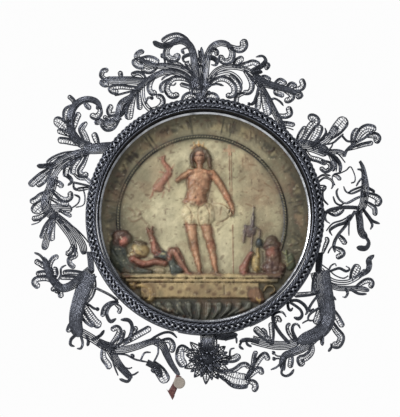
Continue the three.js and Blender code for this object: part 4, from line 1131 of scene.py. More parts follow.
def build_border():
    """Two twisted wires with slanting wire eyes between them, on a plain ring."""
    chosen = settings("border")
    silver = finish_of("silver")
    outer, inner = BORDER_RADIUS, BORDER_INNER
    strand = chosen.strand / MM
    seat = BORDER_BACK + 3.4
    # The ring's tints are lowest at the seat under the eyes and twists: tarnish and painted shade between the parts.
    ring = turned("border", [
        [inner, BORDER_BACK], [outer - 0.5, BORDER_BACK], [outer - 0.15, BORDER_BACK + 0.5], [outer - 0.3, seat - 0.6],
        [outer - 1, seat], [57, seat + 0.8], [inner + 0.9, seat + 2], [inner, seat + 2.2],
    ], silver, tint=[0.5, 0.5, 0.5, 0.4, 0.12, 0.05, 0.12, 0.3])
    rope = rope_tree()
    parts = []
    for title, radius, depth, twists in (
        ("outer_twist", outer - 2 * strand, seat + 0.4, chosen.twists),
        ("inner_twist", inner + 1.9 * strand, BORDER_FRONT - 1.1, chosen.twists),
    ):
        parts.append(grown(title, bpy.data.meshes.new(title), rope, **{
            "Radius": radius * MM, "Depth": depth * MM, "Strand": strand * MM, "Twists": twists,
            "Steps": 8 * twists, "Material": silver}))
    parts.append(grown("eyes", bpy.data.meshes.new("eyes"), eye_tree(), **{
        "Radius": 57.1 * MM, "Depth": (seat + 1.7) * MM, "Count": chosen.eyes, "Long": 1.45 * MM,
        "Short": 1.05 * MM, "Slant": math.radians(32), "Lean": math.radians(30),
        "Wire": chosen.eye_wire, "Material": silver}))
    for part, tint in zip(parts, (0.6, 0.95, 0.9)):
        add_numbers(part.data, "tint", np.full(len(part.data.vertices), tint))
    # Beads between the eyes, tinted 1.35 so that they take rubbed silver: painted highlights.
    beads = []
    for k in range(chosen.eyes):
        angle = FULL_TURN * (k + 0.5) / chosen.eyes
        beads.append((57.2 * math.cos(angle), seat + 2.3, 57.2 * math.sin(angle)))
    parts.append(grains("border_beads", beads, [0.6] * len(beads), 1.35, silver))
    return finished(joined(ring, *parts), "silver", "rope_border")


# The tag caught in the foliage


def build_tag():
    """The blank disc with a rounded rim, and the bent strip under it."""
    low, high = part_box("tag_disc")
    x, z = (low[0] + high[0]) / 2 / MM, (low[2] + high[2]) / 2 / MM
    radius, back, front = (high[0] - low[0]) / 2 / MM, -high[1] / MM, -low[1] / MM
    profile = [
        [0, back], [radius - 0.15, back], [radius, back + 0.2], [radius, front - 0.25], [radius - 0.3, front],
        [radius - 0.7, front - 0.1], [0, front - 0.06],
    ]
    disc = turned("blank_disc", profile, finish_of("card"), steps=64)
    disc.data.transform(Matrix.Translation((x * MM, 0, z * MM)))
    finished(disc, "card", "tag_disc")
    return finished(tag_strip(), "lacquer", "tag_strip")


def tag_strip():
    """A stiff strip that narrows, bends forward and ends in a foot."""
    low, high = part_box("tag_strip")
    back, front = -high[1] / MM, -low[1] / MM
    path, side, run = smooth_path([-12.9, -79.6, -14.6, -84, -16.6, -88, -17.6, -88.9], 0.5)
    t = np.linspace(0, 1, len(path))
    half = 1.4 + 0.6 * t**2 + 1.1 * np.clip((t - 0.86) / 0.14, 0, 1)
    deep = back + 0.25 + 0.35 * np.sin(3 * math.pi * t)
    rows = []
    for u, forward in ((-1, 0), (1, 0), (1, 0.5), (0.55, 0.68), (-0.55, 0.68), (-1, 0.5)):
        rows.append(across(path, side, u * half, np.minimum(deep + forward, front)))
    points = np.vstack(rows)
    n, ring = len(path), len(rows)
    faces = [
        [k * n + i, k * n + i + 1, (k + 1) % ring * n + i + 1, (k + 1) % ring * n + i]
        for k in range(ring) for i in range(n - 1)]
    faces += [[k * n for k in range(ring)], [k * n + n - 1 for k in reversed(range(ring))]]
    mesh = mesh_of("strip", points, faces)
    mesh.materials.append(finish_of("lacquer"))
    return new_object("strip", mesh)


# The wax relief. A mound is x, z, half its width, half its height and its turn in degrees. A limb is the
# x, z pairs of its middle line and its width or its widths at both ends. Colours are 0 to 255.

HAIR, FLESH, SHADE, CLOTH = (66, 46, 34), (168, 120, 90), (96, 58, 44), (194, 180, 142)
CLOAK, GOLD, RED, STEEL = (56, 62, 54), (142, 120, 78), (122, 72, 58), (44, 52, 56)
RUST, MAROON = (112, 68, 52), (70, 44, 40)

FORMS = [
    # height, colour, colour of the edge, how dark the edge is, mounds, limbs
    (0.8, (152, 104, 84), RUST, 0.5, [(-22.6, 14.6, 2.4, 2.2, 30)], [
        ([-21.6, 29.4, -20.4, 26.6, -18, 23.2, -18.6, 20.8], (1.8, 3.2)),
        ([-18.8, 21, -21, 17.6, -24, 14], (3.2, 3.4)),
        ([-21.2, 28.2, -23, 29.4], (1, 0.6)), ([-20.8, 28, -20.4, 30.6], (1, 0.6))]),
    (2.2, HAIR, (44, 30, 24), 0.5, [(-2.6, 31.2, 4.3, 4.5, 0)], [
        ([-5.8, 32, -6.7, 29, -6, 25.4], (2.8, 1.8)), ([0.4, 32.6, 2, 29.6, 2.6, 25], (3, 2))]),
    (2.5, FLESH, SHADE, 0.5, [
        (-2.6, 20, 6.1, 4.4, 0), (-3.2, 15.6, 5.5, 6, 4), (-4.2, 10.6, 5, 5, 6), (-4.8, 7.2, 5.9, 3.6, 4)], [
        ([-2.8, 27.4, -2.6, 23.6], 3.2), ([-7.4, 22, -2.6, 23, 3.2, 21.4], 3)]),
    (2.0, FLESH, SHADE, 0.6, [], [([-7.6, 22.2, -10.6, 20.6, -13.6, 18.2], (3.6, 2.4))]),
    (2.0, FLESH, SHADE, 0.6, [(13.6, 4, 1.4, 2.2, 10)], [
        ([3.4, 21.6, 6.6, 17.6, 9.6, 12.6, 12.4, 7.4, 13.5, 4.6], (4.4, 2.3)),
        ([13, 3, 12.8, 0.2], (1.1, 0.7)), ([14.1, 3, 14.1, 0.7], (1, 0.6)), ([12.4, 4, 11.6, 1.8], (0.9, 0.6))]),
    (2.2, FLESH, SHADE, 0.6, [], [
        ([-7.2, -2, -6.4, -9, -5.3, -15.4], (6, 4)), ([0, -2.6, 1.4, -9, 2.9, -15], (5.4, 4))]),
    (2.2, FLESH, SHADE, 0.6, [], [
        ([-5.3, -15.2, -4.4, -19.5, -3.2, -24.4, -2.6, -28.2], (4.2, 2.1)),
        ([2.9, -14.8, 3.9, -19.4, 4.7, -24, 5.6, -28.2], (4.3, 2.2))]),
    (2.3, (142, 114, 92), SHADE, 0.5, [(-3.1, -28.9, 2.2, 0.9, -8), (5.9, -29.2, 2.6, 1, -12)], []),
    (1.6, CLOTH, (160, 138, 104), 0.25, [(-7, 1.6, 4.4, 5.8, 0), (-2.4, 0.2, 4.6, 5, 0), (1.4, 1.2, 4, 5.6, 0)], [
        ([-9, 4.6, -4, 2.2, 1, 5], (3.6, 3.4))]),
    (0.7, (186, 174, 140), (150, 124, 92), 0.2, [(7.4, 1.6, 4.6, 4.2, -20)], [([5, 6, 10, 4.6, 12.6, 1], (3, 1.4))]),
    (3.0, (170, 128, 100), SHADE, 0.4, [(-2.9, 29.5, 2.6, 3.4, 0)], []),
    (1.9, CLOAK, (40, 44, 38), 0.4, [(-43, -20, 4.6, 7, -8)], [
        ([-45, -14, -43.2, -20.4, -38.6, -26], (5, 9)), ([-40, -23.6, -36, -27.2, -27, -28], (7, 2.2))]),
    (2.7, (80, 56, 46), (44, 32, 28), 0.5, [(-42, -10, 4.4, 3.2, 12), (-44, -12.4, 2.2, 3, 0), (-38.4, -11.4, 2.4, 2.6, 0)], []),
    (3.0, (156, 98, 84), (92, 54, 46), 0.5, [(-40.6, -12.9, 2.4, 2.8, -20)], []),
    (2.3, GOLD, (92, 74, 48), 0.5, [(-32.4, -17, 4.6, 4, -20), (-35.2, -19.6, 3, 2.2, 0)], []),
    (2.0, (102, 74, 54), (58, 40, 34), 0.5, [(-32.4, -13.4, 3.4, 1.1, -6)], []),
    (1.8, (54, 66, 64), (34, 42, 42), 0.4, [(-20.8, -19.6, 4.2, 2.3, -8), (-13.6, -26.6, 4.2, 2.4, 12)], [
        ([-24, -19.4, -18.4, -20.4, -16, -24.6, -15.4, -28], (3.4, 4))]),
    (2.2, RED, (92, 56, 46), 0.6, [(-27.3, -8.2, 1.8, 1.9, 0)], [
        ([-24.4, -17.6, -25.6, -13, -27.4, -9], (4.6, 2.6)),
        ([-36, -21.6, -30.6, -24.2, -25, -23, -20, -23.9], (3.6, 2.9)),
        ([-27.8, -7.8, -28.8, -6.2], 1), ([-26.8, -7.2, -26.4, -5.6], 0.9)]),
    (2.2, (140, 94, 76), (92, 60, 48), 0.6, [(-8.2, -28.7, 2.2, 0.9, -16)], [
        ([-17.6, -20.6, -16.4, -17.4, -14.2, -18.6], (3, 4.4)), ([-14.8, -17.8, -12.4, -22, -8.8, -28], (4.8, 2.4))]),
    (1.0, (160, 146, 116), (104, 88, 64), 0.4, [(-22.4, -27.4, 3.2, 1.5, -6)], []),
    (2.6, MAROON, (54, 36, 34), 0.4, [(33.4, -14.6, 4.6, 3.4, 4), (32.8, -25.6, 4.6, 3.6, 0), (37, -26, 3.4, 3.6, 0)], [
        ([33.2, -13, 34, -18, 34.2, -27.6], (7, 9)), ([18, -28.9, 26, -29, 38.6, -29], 1.7)]),
    (2.2, STEEL, (30, 36, 40), 0.4, [(27, -13.4, 2, 2.5, 0)], []),
    (2.0, (124, 74, 62), (74, 46, 40), 0.4, [(32.8, -18.2, 2.2, 2.6, 0), (19.4, -26.6, 2.6, 2.6, 0)], [
        ([23.2, -18.6, 20.8, -22, 19, -27.4], (2.4, 4.4))]),
    (1.9, (150, 128, 84), (104, 82, 56), 0.4, [(25.4, -23.6, 2.2, 4.6, 0)], [([26.4, -16.6, 26.4, -20], (1.6, 2.4))]),
    (0.9, (66, 74, 54), (42, 46, 36), 0.3, [(43, -22.4, 2, 4.2, 10)], [
        ([40.4, -17.4, 40.8, -21, 42.4, -26], (1.6, 2.6))]),
    (1.1, (84, 74, 76), (58, 50, 54), 0.4, [(22.4, -7.4, 3.3, 3, 8), (20.6, -5.2, 1.2, 1.2, 0)], [
        ([24.5, 4.8, 24.1, -0.6], (0.5, 1.4)), ([24.1, -0.6, 23.8, -5], 1.9), ([23.8, -9, 23.3, -17.4], (0.8, 0.6)),
        ([20.4, -6, 19.9, -9, 19.4, -13], (1.4, 0.7)), ([25.4, -5.6, 27.4, -7, 27.4, -10.4], (1, 0.5))]),
]

# The stone bench, the fluted foot under it and the scrolls at their ends: left, right, low, high, height, colour
SLABS = [
    (-41.6, 38.2, -31.2, -28.9, 2.8, (190, 168, 122)),
    (-39.6, 36.6, -33.2, -31.2, 2.4, (178, 154, 110)),
    (-32, 27, -41.2, -33.2, 1.8, (160, 138, 98)),
]
BENCH_ORNAMENTS = [
    (1.9, (128, 106, 74), (86, 66, 46), 0.5, [(-36.2, -34.6, 2.6, 2.5, 0)], []),
    (2.1, (148, 126, 84), (92, 72, 48), 0.5, [], [
        ([-33.4, -35, -29.6, -34.8, -26.4, -37.4, -26.6, -41.4, -30.6, -43.6], (2.4, 3)),
        ([-31.4, -38, -29.8, -40, -31.6, -42.6], (1.2, 1.4))]),
    (1.9, (132, 110, 72), (78, 60, 42), 0.5, [], [
        ([29.4, -37.4, 31, -35, 34, -35.2, 34.8, -37.6, 32.6, -39], (1.2, 1))]),
    (1.9, (112, 80, 60), (64, 46, 38), 0.5, [(25.4, -39.6, 4.2, 3.8, -24), (28.4, -42.6, 3, 2, -40)], []),
]
FLUTES = {"left": -28, "right": 22, "pitch": 5.0, "middle": -2.4, "top": -43, "foot": -51.6, "colour": (92, 92, 80)}

# Fine brushed lines: colour, width, strength, how deep each is cut, and their x, z pairs
LINES = [
    ((64, 42, 32), 0.55, 0.8, 0.2, [
        [-4.7, 30.5, -3.5, 30.6], [-2.3, 30.6, -1.1, 30.5], [-3.7, 27.8, -2.9, 27.65, -2.1, 27.8]]),
    ((122, 82, 60), 0.5, 0.6, 0.15, [[-2.9, 30.2, -3.1, 28.9, -2.7, 28.7], [-4.9, 31.4, -3.4, 31.5], [-2.4, 31.5, -0.9, 31.4]]),
    ((104, 66, 48), 0.6, 0.6, 0.3, [
        [-4.5, 10, -4.4, 9.2], [-9.6, 7.6, -7, 6.2, -4.4, 5, -2.4, 6, 0.8, 7.8], [-7.4, 25.2, -4, 24.2],
        [-9.2, 22.6, -12, 20.8, -13.8, 19], [-9.4, 18.4, -8.6, 13.4, -9.8, 9], [3.4, 19, 2.2, 12.6, 1.2, 8.4],
        [-10.2, -4.2, -7, -4.6, -4, -4.2], [-2.6, -4.6, 0.4, -4.8, 2.8, -4.4], [-10.2, -4.2, -8.2, -12, -7.2, -16]]),
    ((128, 94, 66), 0.45, 0.6, 0.2, [
        [4.6, 6.4, 9, 6, 12.6, 3.4], [12.8, 0.6, 10.4, -1.6, 6, -3.6], [-9.4, 5.6, -6.6, 1.2, -7, -3.6],
        [-3, 4.6, -3.6, 0, -2.8, -4], [0.6, 5.6, 2.2, 1, 1.8, -3.6], [8.4, 4.6, 7.6, 0.6]]),
    ((120, 76, 52), 0.5, 0.75, -0.2, [
        [12.2, 32, 12.4, 20, 12.7, 8], [13.2, 32, 13.4, 20, 13.6, 8], [13.9, -4.4, 14, -16, 14.2, -28.4]]),
    ((188, 150, 118), 0.5, 0.7, -0.2, [[9.6, 33.9, 15, 33.8], [9.6, 33.1, 15, 33], [11.9, 36.2, 12, 31], [12.7, 36.2, 12.8, 31]]),
    ((180, 132, 70), 0.7, 0.6, -0.2, [
        [-5, 35.4, -5.7, 37.6], [-3.1, 35.7, -3.2, 38], [-1.2, 35.4, -0.7, 37.4], [-6.6, 34.4, -4.6, 36.2, -1.6, 36.2, 0.6, 34.4]]),
    ((146, 84, 66), 0.7, 0.5, -0.1, [
        [-21, 28, -18.8, 24.8, -18.4, 21], [-19.6, 19.6, -18.2, 16.4, -18, 12.6], [-23, 19, -25.6, 15.4, -26.2, 10.6],
        [-16.4, 24.4, -15.4, 26], [-20.8, 22, -22.6, 22.4], [-26, 12, -27.4, 9], [-20.6, 12, -21.4, 9.6]]),
    ((104, 76, 54), 1.1, 0.55, -0.3, [
        [-38.5, 4.2, -36, 2.6, -35.2, 0.4], [-34.6, 3.8, -32.3, 2.1, -33.6, 0], [-38.2, -1, -36.5, -2.6, -34, -2, -32, -0.6],
        [-31.6, -1.2, -28.4, -4.6]]),
    # Small pale marks: painted glints on the left soldier's face and armour.
    ((214, 200, 170), 0.6, 0.8, -0.2, [[-42.1, -11, -41.6, -11.6], [-36.8, -19.2, -36.5, -19.5], [-38.4, -19.8, -38.1, -20]]),
    ((64, 46, 38), 0.7, 0.6, 0.25, [
        [-34.8, -13.4, -32, -12.6, -29.4, -13.8], [-36.6, -16.4, -34, -19.6, -30.2, -20.8], [-33.6, -15.6, -31, -18.6],
        [-24.6, -13, -22.4, -15.6, -20.4, -17.4], [-24.4, -15, -23, -17.4], [-39.4, -14.6, -41, -15.4],
        [-35.6, -23.2, -31, -25.8, -26, -24.8], [-18.4, -18.6, -16.6, -16, -14, -17.4, -11, -22.6, -7.8, -27.6]]),
    ((38, 46, 48), 0.8, 0.6, 0.3, [
        [-24, -18.6, -20.6, -20.4], [-20.4, -17.8, -18, -20.6], [-46, -17, -42, -24], [-42, -15.6, -38.6, -22.6],
        [-38, -25, -31, -27.4], [-15, -25, -11.6, -28]]),
    ((58, 36, 34), 0.9, 0.6, 0.4, [
        [31, -20, 30.4, -28], [33.6, -21.6, 33.8, -28.4], [37, -17, 37.6, -22, 36.4, -27.6], [29.6, -16, 33.6, -14.8, 37.2, -16],
        [28.8, -18, 29.2, -24, 27.8, -28], [22.6, -20, 22.6, -24, 21.6, -28.6]]),
    ((196, 168, 104), 0.6, 0.8, -0.25, [
        [26, -25.6, 26.9, -26.6], [25, -27, 25.8, -27.6], [24.4, -22, 25, -23.4], [26.6, -18.6, 26.8, -20.4]]),
    ((128, 128, 84), 0.5, 0.6, -0.2, [
        [40.4, -19, 38.8, -17.6], [40.6, -20.6, 42.6, -19], [41, -22.4, 39.4, -21.6], [41.4, -24, 43.4, -22.6], [40.6, -17, 41, -25]]),
    ((120, 90, 62), 0.6, 0.5, 0.0, [
        [18.5, 12.6, 21, 12.2], [25, 9.2, 28.4, 11.4], [19.2, 24, 19, 29], [17.4, 18, 20.6, 20.4], [30, 17, 33.4, 14.6],
        [22, 26.6, 26, 25.8], [24, 14.6, 27.4, 13, 29, 13.8], [26, 8.6, 29.6, 10.6, 32, 9.4], [20.6, 6.4, 25, 4.8]]),
    ((124, 98, 66), 0.45, 0.4, 0.1, [
        [-41.4, -29, -12, -29.4, 14, -29.3, 38, -29.6], [-39.6, -31.3, 0, -31.4, 36.4, -31.7], [-38.6, -33.2, 0, -33.4, 35, -33.6]]),
    ((92, 70, 48), 0.6, 0.5, 0.3, [[-27, -41.6, -14, -40.8, 0, -41.4, 12, -41, 24, -42], [9.6, -35, 9.8, -39]]),
    ((190, 160, 98), 0.6, 0.7, -0.25, [
        [25.6, -41, 26.6, -42.4, 27.6, -41.6, 27.2, -43.4], [-37.4, -34, -36.4, -35.2, -35.4, -33.8],
        [-37.2, -36, -35.4, -36.4], [-32.4, -35.2, -29, -35.8, -27.2, -38.8, -28, -42]]),
]

# Soft touches of paint: colour, strength, and mounds. Those under the forms tone the ground; those over them are mostly
# painted highlights and painted shade, with a few touches of colour.
TOUCHES_UNDER = [
    ((204, 194, 160), 0.7, [(-19, -4, 12, 20, 0), (9, -16, 5, 14, 0), (-4, 30, 16, 8, 0)]),
    ((200, 188, 148), 0.4, [(0, 6, 22, 30, 0), (18, 30, 8, 6, -40)]),
    ((148, 116, 90), 0.35, [(-21, 20, 7, 11, 20), (26, 12, 11, 14, 0), (22, 27, 7, 5, -20)]),
    ((120, 108, 86), 0.5, [(-33, 14, 7, 16, -24), (37, 12, 6, 18, 16), (-20, 36, 16, 4, 28)]),
    ((112, 94, 70), 0.45, [(-30, -8, 12, 6, 0), (27, -6, 10, 8, 0)]),
    # Dark patches near the rim: partly dirt and partly painted shade from the case's wall.
    ((66, 60, 48), 0.7, [(-43, -8, 8, 16, 0), (44, -14, 8, 18, 0), (47, 12, 6, 20, 0), (-44, 22, 6, 16, -24)]),
    ((110, 92, 66), 0.4, [(-2, -29, 38, 1.8, 0)]),
]
LIGHT_SHADE_AND_COLOUR_TOUCHES = [
    # Lighter touches are painted highlights on the body, the face, the soldiers' armour and the flutes; bluish ones are
    # painted reflections on the steel; darker ones are painted shade on the body's sides, round the eyes and face and
    # at the bench's ends.
    ((204, 166, 130), 0.5, [(-5, 20.2, 1.9, 1.6, 0), (0, 20, 1.8, 1.5, 0), (-5.8, 11, 1.3, 3, 0), (-7.4, -8, 1.2, 4, 5),
                            (1, -8, 1.2, 4, 8), (-4.2, -20, 0.8, 3, 10), (3.8, -19.6, 0.9, 3, 10), (7, 17, 0.8, 2.6, 30)]),
    ((130, 74, 58), 0.45, [(-8.4, 17, 1.6, 3.4, 0), (10.8, 10, 1.1, 3.4, 28), (-4.6, 6.6, 3, 1.2, 0), (-12.4, 19.2, 1.6, 1.2, 30),
                           (-8.8, 10, 1.6, 3, 0), (2.4, 17, 1, 3.4, 0), (-4.6, -14, 1.8, 2.4, 0), (3.6, -14, 1.6, 2.4, 0),
                           (-9.2, -6, 1, 3.4, 5), (4, -8, 1, 4, 8)]),
    ((104, 62, 52), 0.4, [(-2.8, 30.6, 2, 1, 0), (-4.9, 28.4, 0.8, 1.6, 0), (-1, 28.4, 0.8, 1.6, 0)]),
    ((202, 164, 134), 0.5, [(-3.2, 31.9, 1.2, 0.8, 0), (-3, 29.2, 0.5, 1, 0)]),
    ((84, 58, 44), 0.4, [(-2.9, 26.9, 1.7, 0.8, 0), (-6.4, 28, 0.8, 2.4, 0), (2, 28.4, 0.8, 2.4, 0)]),
    ((184, 128, 106), 0.45, [(-31, -22.6, 4, 0.8, -12), (-25.6, -14, 0.8, 2.6, 4), (-39.6, -13, 0.9, 1.1, 0), (-14.4, -19.6, 0.9, 2.6, 28)]),
    ((196, 182, 136), 0.5, [(-33.4, -16.4, 2, 1.2, -20), (-20.8, -19, 1.3, 0.7, 0), (25.4, -23, 0.7, 2.6, 0)]),
    ((84, 56, 48), 0.5, [(-29.6, -20.6, 4, 0.9, -10), (-23, -21.6, 2, 0.8, 0), (-12, -21, 0.8, 3, 28)]),
    ((128, 74, 56), 0.45, [(-22.6, -33, 3, 0.8, 0), (34, -16, 1.4, 1, 0), (-38, -30.6, 3, 1, 0)]),
    ((104, 116, 122), 0.4, [(34.6, -28.4, 1.2, 0.7, 0), (27, -12.6, 0.8, 0.9, 0), (23, -6.4, 1, 0.9, 0)]),
    ((62, 56, 46), 0.5, [(36, -33, 5, 3, 0), (32, -42, 6, 3.4, 40), (-38, -40, 6, 4, -40)]),
    ((150, 148, 128), 0.5, [(-17, -44.6, 1.3, 0.8, 0), (-11.6, -44.4, 1.5, 0.9, 0), (4.6, -44.2, 1.2, 0.8, 0), (7.4, -47, 0.7, 2.4, -14)]),
]
FRIEZE_DOTS = [
    (-20.3, -34.8), (-16.8, -36.4), (-12.6, -38), (-8.5, -36.8), (-4.4, -38.8), (-1.3, -35.2), (1.8, -37.8), (4.6, -39.2),
    (7.5, -36.4), (11.7, -38.8), (15.2, -36.6), (18.6, -38.4), (21.4, -36)]


def tone(rgb):
    """A colour of 0 to 255, as light."""
    share_of_white = np.asarray(rgb, float) / 255
    return np.where(share_of_white <= 0.04045, share_of_white / 12.92, ((share_of_white + 0.055) / 1.055) ** 2.4)


def ramp(value, low, high):
    """0 below low and 1 above high, with a smooth rise between."""
    t = np.clip((value - low) / (high - low), 0, 1)
    return t * t * (3 - 2 * t)


def mottle(x, z, size, seed, octaves=3):
    """Cloudy noise from 0 to 1, with clouds of a size in millimetres and finer ones in them."""
    chance = np.random.default_rng(seed)
    total, weight = np.zeros(len(x)), 0.0
    for k in range(octaves):
        table = chance.random((64, 64))
        u, v = x * 2**k / size + 32, z * 2**k / size + 32
        i, j = np.floor(u).astype(int), np.floor(v).astype(int)
        f, g = ramp(u - i, 0, 1), ramp(v - j, 0, 1)
        low = table[i % 64, j % 64] * (1 - f) + table[(i + 1) % 64, j % 64] * f
        high = table[i % 64, (j + 1) % 64] * (1 - f) + table[(i + 1) % 64, (j + 1) % 64] * f
        total += (low * (1 - g) + high * g) * 0.6**k
        weight += 0.6**k
    return total / weight


class Relief:
    """The face of the wax: at each point its height over the ground and its brushed colour, painted light and shade
    included.
    """

    def __init__(self, x, z, centre, edge):
        self.x, self.z = x, z
        self.height = np.zeros(len(x))
        self.broad, self.middle, self.fine = mottle(x, z, 9, 1), mottle(x, z, 3.2, 2), mottle(x, z, 1.5, 3, 2)
        away = np.hypot(x + 2, z - 1) + 9 * (self.broad - 0.5) + 3 * (self.middle - 0.5)
        middle = 0.6 * np.array(centre) + 0.4 * np.array(edge)
        self.paint = np.outer(1 - ramp(away, 6, 36), centre) + np.outer(ramp(away, 6, 36), middle)
        # Darker towards the rim: partly dirt and partly painted shade from the case's wall.
        self.blend(np.array(edge), 0.9 * ramp(away, 36, 51))
        self.blend(tone((60, 60, 52)), 0.8 * ramp(-z + 3 * (self.middle - 0.5), 36, 46))

    def blend(self, rgb, mask):
        self.paint += (rgb - self.paint) * np.clip(mask, 0, 1)[:, None]

    def mound(self, x, z, half_width, half_height, turn):
        """How far each point lies inside a mound: 1 at its middle, 0 at its edge, and in millimetres."""
        c, s = math.cos(math.radians(turn)), math.sin(math.radians(turn))
        right, up = self.x - x, self.z - z
        inside = 1 - np.hypot((right * c + up * s) / half_width, (up * c - right * s) / half_height)
        return inside, inside * min(half_width, half_height)

    def limb(self, flat, width):
        """The same for a limb that follows a smooth path."""
        path, _, run = smooth_path(flat, 0.7)
        root, tip = width if isinstance(width, tuple) else (width, width)
        inside, far = np.full(len(self.x), -9.0), np.full(len(self.x), -9.0)
        reach = max(root, tip) + 1
        low, high = path.min(axis=0) - reach, path.max(axis=0) + reach
        near = np.flatnonzero(
            (self.x > low[0]) & (self.x < high[0]) & (self.z > low[1]) & (self.z < high[1]))
        start, step = path[:-1], np.diff(path, axis=0)
        point = np.stack([self.x[near], self.z[near]], axis=1)[:, None, :] - start[None]
        t = np.clip((point * step).sum(axis=2) / (step**2).sum(axis=1), 0, 1)
        distance = np.linalg.norm(point - t[..., None] * step, axis=2)
        nearest = distance.argmin(axis=1)
        rows = np.arange(len(near))
        t_all = (nearest + t[rows, nearest]) / len(step)
        half = 0.5 * (root + (tip - root) * t_all)
        inside[near] = 1 - distance[rows, nearest] / half
        far[near] = half - distance[rows, nearest]
        return inside, far

    def form(self, height, rgb, edge, darkness, mounds, limbs):
        """Raises and paints one form made of mounds and limbs that run into each other, with painted light on it:
        lighter where it swells highest, and a dark edge that is both outline and painted shade.
        """
        swell, far = np.zeros(len(self.x)), np.full(len(self.x), -9.0)
        for inside, depth in [self.mound(*m) for m in mounds] + [self.limb(*m) for m in limbs]:
            body = np.clip(1 - np.clip(1 - inside, 0, 1) ** 2, 0, 1)
            swell += (body**0.6) ** 4
            far = np.maximum(far, depth)
        swell = np.minimum(swell**0.25, 1.12)
        far = far + 0.7 * (self.fine - 0.5) + 0.4 * (self.middle - 0.5)
        mask = ramp(far, -0.4, 0.5)
        self.height = np.maximum(self.height, height * swell * (0.9 + 0.2 * self.fine))
        # Painted light: the form lighter where it swells highest, darker towards its edges.
        lit = (0.82 + 0.24 * np.clip(swell, 0, 1)) * (0.72 + 0.56 * self.middle)
        self.blend(tone(rgb)[None] * lit[:, None], mask * (0.78 + 0.25 * self.fine))
        # The dark edge: a painted outline that is also painted shade.
        self.blend(tone(edge), darkness * np.exp(-((far / 0.6) ** 2)) * (0.45 + 0.9 * self.middle))

    def slab(self, left, right, low, high, height, rgb):
        """Raises and paints a straight moulding."""
        far = np.minimum(np.minimum(self.x - left, right - self.x), np.minimum(self.z - low, high - self.z))
        mask = ramp(far + 0.5 * (self.fine - 0.5), -0.2, 0.35)
        self.height = np.maximum(self.height * (1 - mask), height * mask)
        fade = 1 - 0.6 * ramp(np.abs(self.x + 3) + 8 * (self.broad - 0.5), 20, 44)
        self.blend(tone(rgb)[None] * (0.76 + 0.48 * self.middle)[:, None], 0.85 * mask * fade)

    def line(self, rgb, width, strength, cut, flat):
        _, far = self.limb(flat, width)
        mask = ramp(far, -0.35 * width - 0.2, 0.4 * width)
        self.blend(tone(rgb), strength * mask * (0.35 + 1.1 * self.fine))
        self.height -= cut * mask

    def touch(self, rgb, strength, mound):
        inside, _ = self.mound(*mound)
        self.blend(tone(rgb), strength * ramp(inside + 0.5 * (self.middle - 0.5), -0.3, 0.85))

    def age(self):
        """Stains, specks of dirt and bloom, and the small unevenness of old wax."""
        x, z = self.x, self.z
        self.paint *= (0.7 + 0.36 * self.middle)[:, None]
        self.blend(tone((112, 84, 62)), 0.34 * ramp(mottle(x, z, 7, 5), 0.52, 0.74))
        self.blend(tone((88, 88, 66)), 0.26 * ramp(mottle(x, z, 11, 6), 0.5, 0.72))
        self.blend(tone((78, 54, 40)), 0.5 * ramp(mottle(x, z, 1.8, 7, 2), 0.7, 0.86))
        self.blend(tone((206, 196, 164)), 0.26 * ramp(mottle(x, z, 1.4, 8, 2), 0.74, 0.9))
        self.height += 0.34 * (self.fine - 0.5) + 0.3 * (self.middle - 0.5)


ARCH = {"x": -1.5, "z": -1.5, "radius": 42.0, "start": -24, "end": 190}
WRITING = {"low": 44.6, "high": 49.8, "start": -24, "end": 206, "pitch": 13.5}


def paint_arch(relief):
    """The cord of the arch: a light broken roll between two dark lines."""
    right, up = relief.x - ARCH["x"], relief.z - ARCH["z"]
    away, angle = np.hypot(right, up), np.degrees(np.arctan2(up, right)) % 360
    spanned = np.maximum(ramp(-angle, -ARCH["end"], 2 - ARCH["end"]), ramp(angle, 360 + ARCH["start"], 362 + ARCH["start"]))
    outside = np.abs(away - ARCH["radius"])
    twist = 0.5 + 0.5 * np.sin(np.radians(angle) * 190 + 3 * (away - ARCH["radius"]))
    relief.height += spanned * 0.8 * ramp(-outside, -1.1, -0.3) * (0.8 + 0.2 * twist)
    relief.blend(tone((74, 66, 52)), 0.5 * spanned * ramp(-outside, -2.8, -1))
    relief.blend(tone((34, 33, 28)), spanned * ramp(-outside, -1.35, -0.85))
    relief.blend(tone((158, 146, 112)), 0.75 * spanned * ramp(-outside, -0.5, -0.1) * twist * (0.3 + relief.middle))


def paint_border_ground(relief):
    """The band round the arch, pale in patches where the dirt has worn off."""
    away = np.hypot(relief.x, relief.z)
    inside = ramp(away, 43.6, 45) * ramp(-away, -50.6, -48) * ramp(relief.z, -20, -12)
    patches = ramp(mottle(relief.x, relief.z, 7, 11), 0.44, 0.62)
    relief.blend(tone((168, 154, 116)), 0.8 * inside * patches * (1 - 0.45 * ramp(relief.x, 10, 45)))
    relief.blend(tone((132, 96, 78)), 0.35 * inside * ramp(mottle(relief.x, relief.z, 6, 12), 0.54, 0.7))
    relief.blend(tone((46, 44, 36)), 0.75 * inside * ramp(mottle(relief.x, relief.z, 5, 13), 0.54, 0.7))


def paint_writing(relief, chance):
    """Shallow upright strokes round the arch, in place of an inscription. They aren't letters."""
    angle = WRITING["start"]
    while angle < WRITING["end"]:
        strength = chance.uniform(0.3, 0.85)
        for k in range(chance.choice((2, 2, 3))):
            start = math.radians(angle + 2.6 * k + chance.uniform(-0.8, 0.8))
            end = start + math.radians(chance.choice((-2.4, -1, 0, 1, 2.4)))
            low = WRITING["low"] + chance.uniform(0, 1.4)
            high = WRITING["high"] - chance.uniform(0, 1.8)
            flat = [low * math.cos(start), low * math.sin(start), high * math.cos(end), high * math.sin(end)]
            relief.line((58, 44, 34), chance.uniform(0.6, 1.3), strength, -0.2, flat)
        angle += WRITING["pitch"] + chance.uniform(-2.5, 2.5)


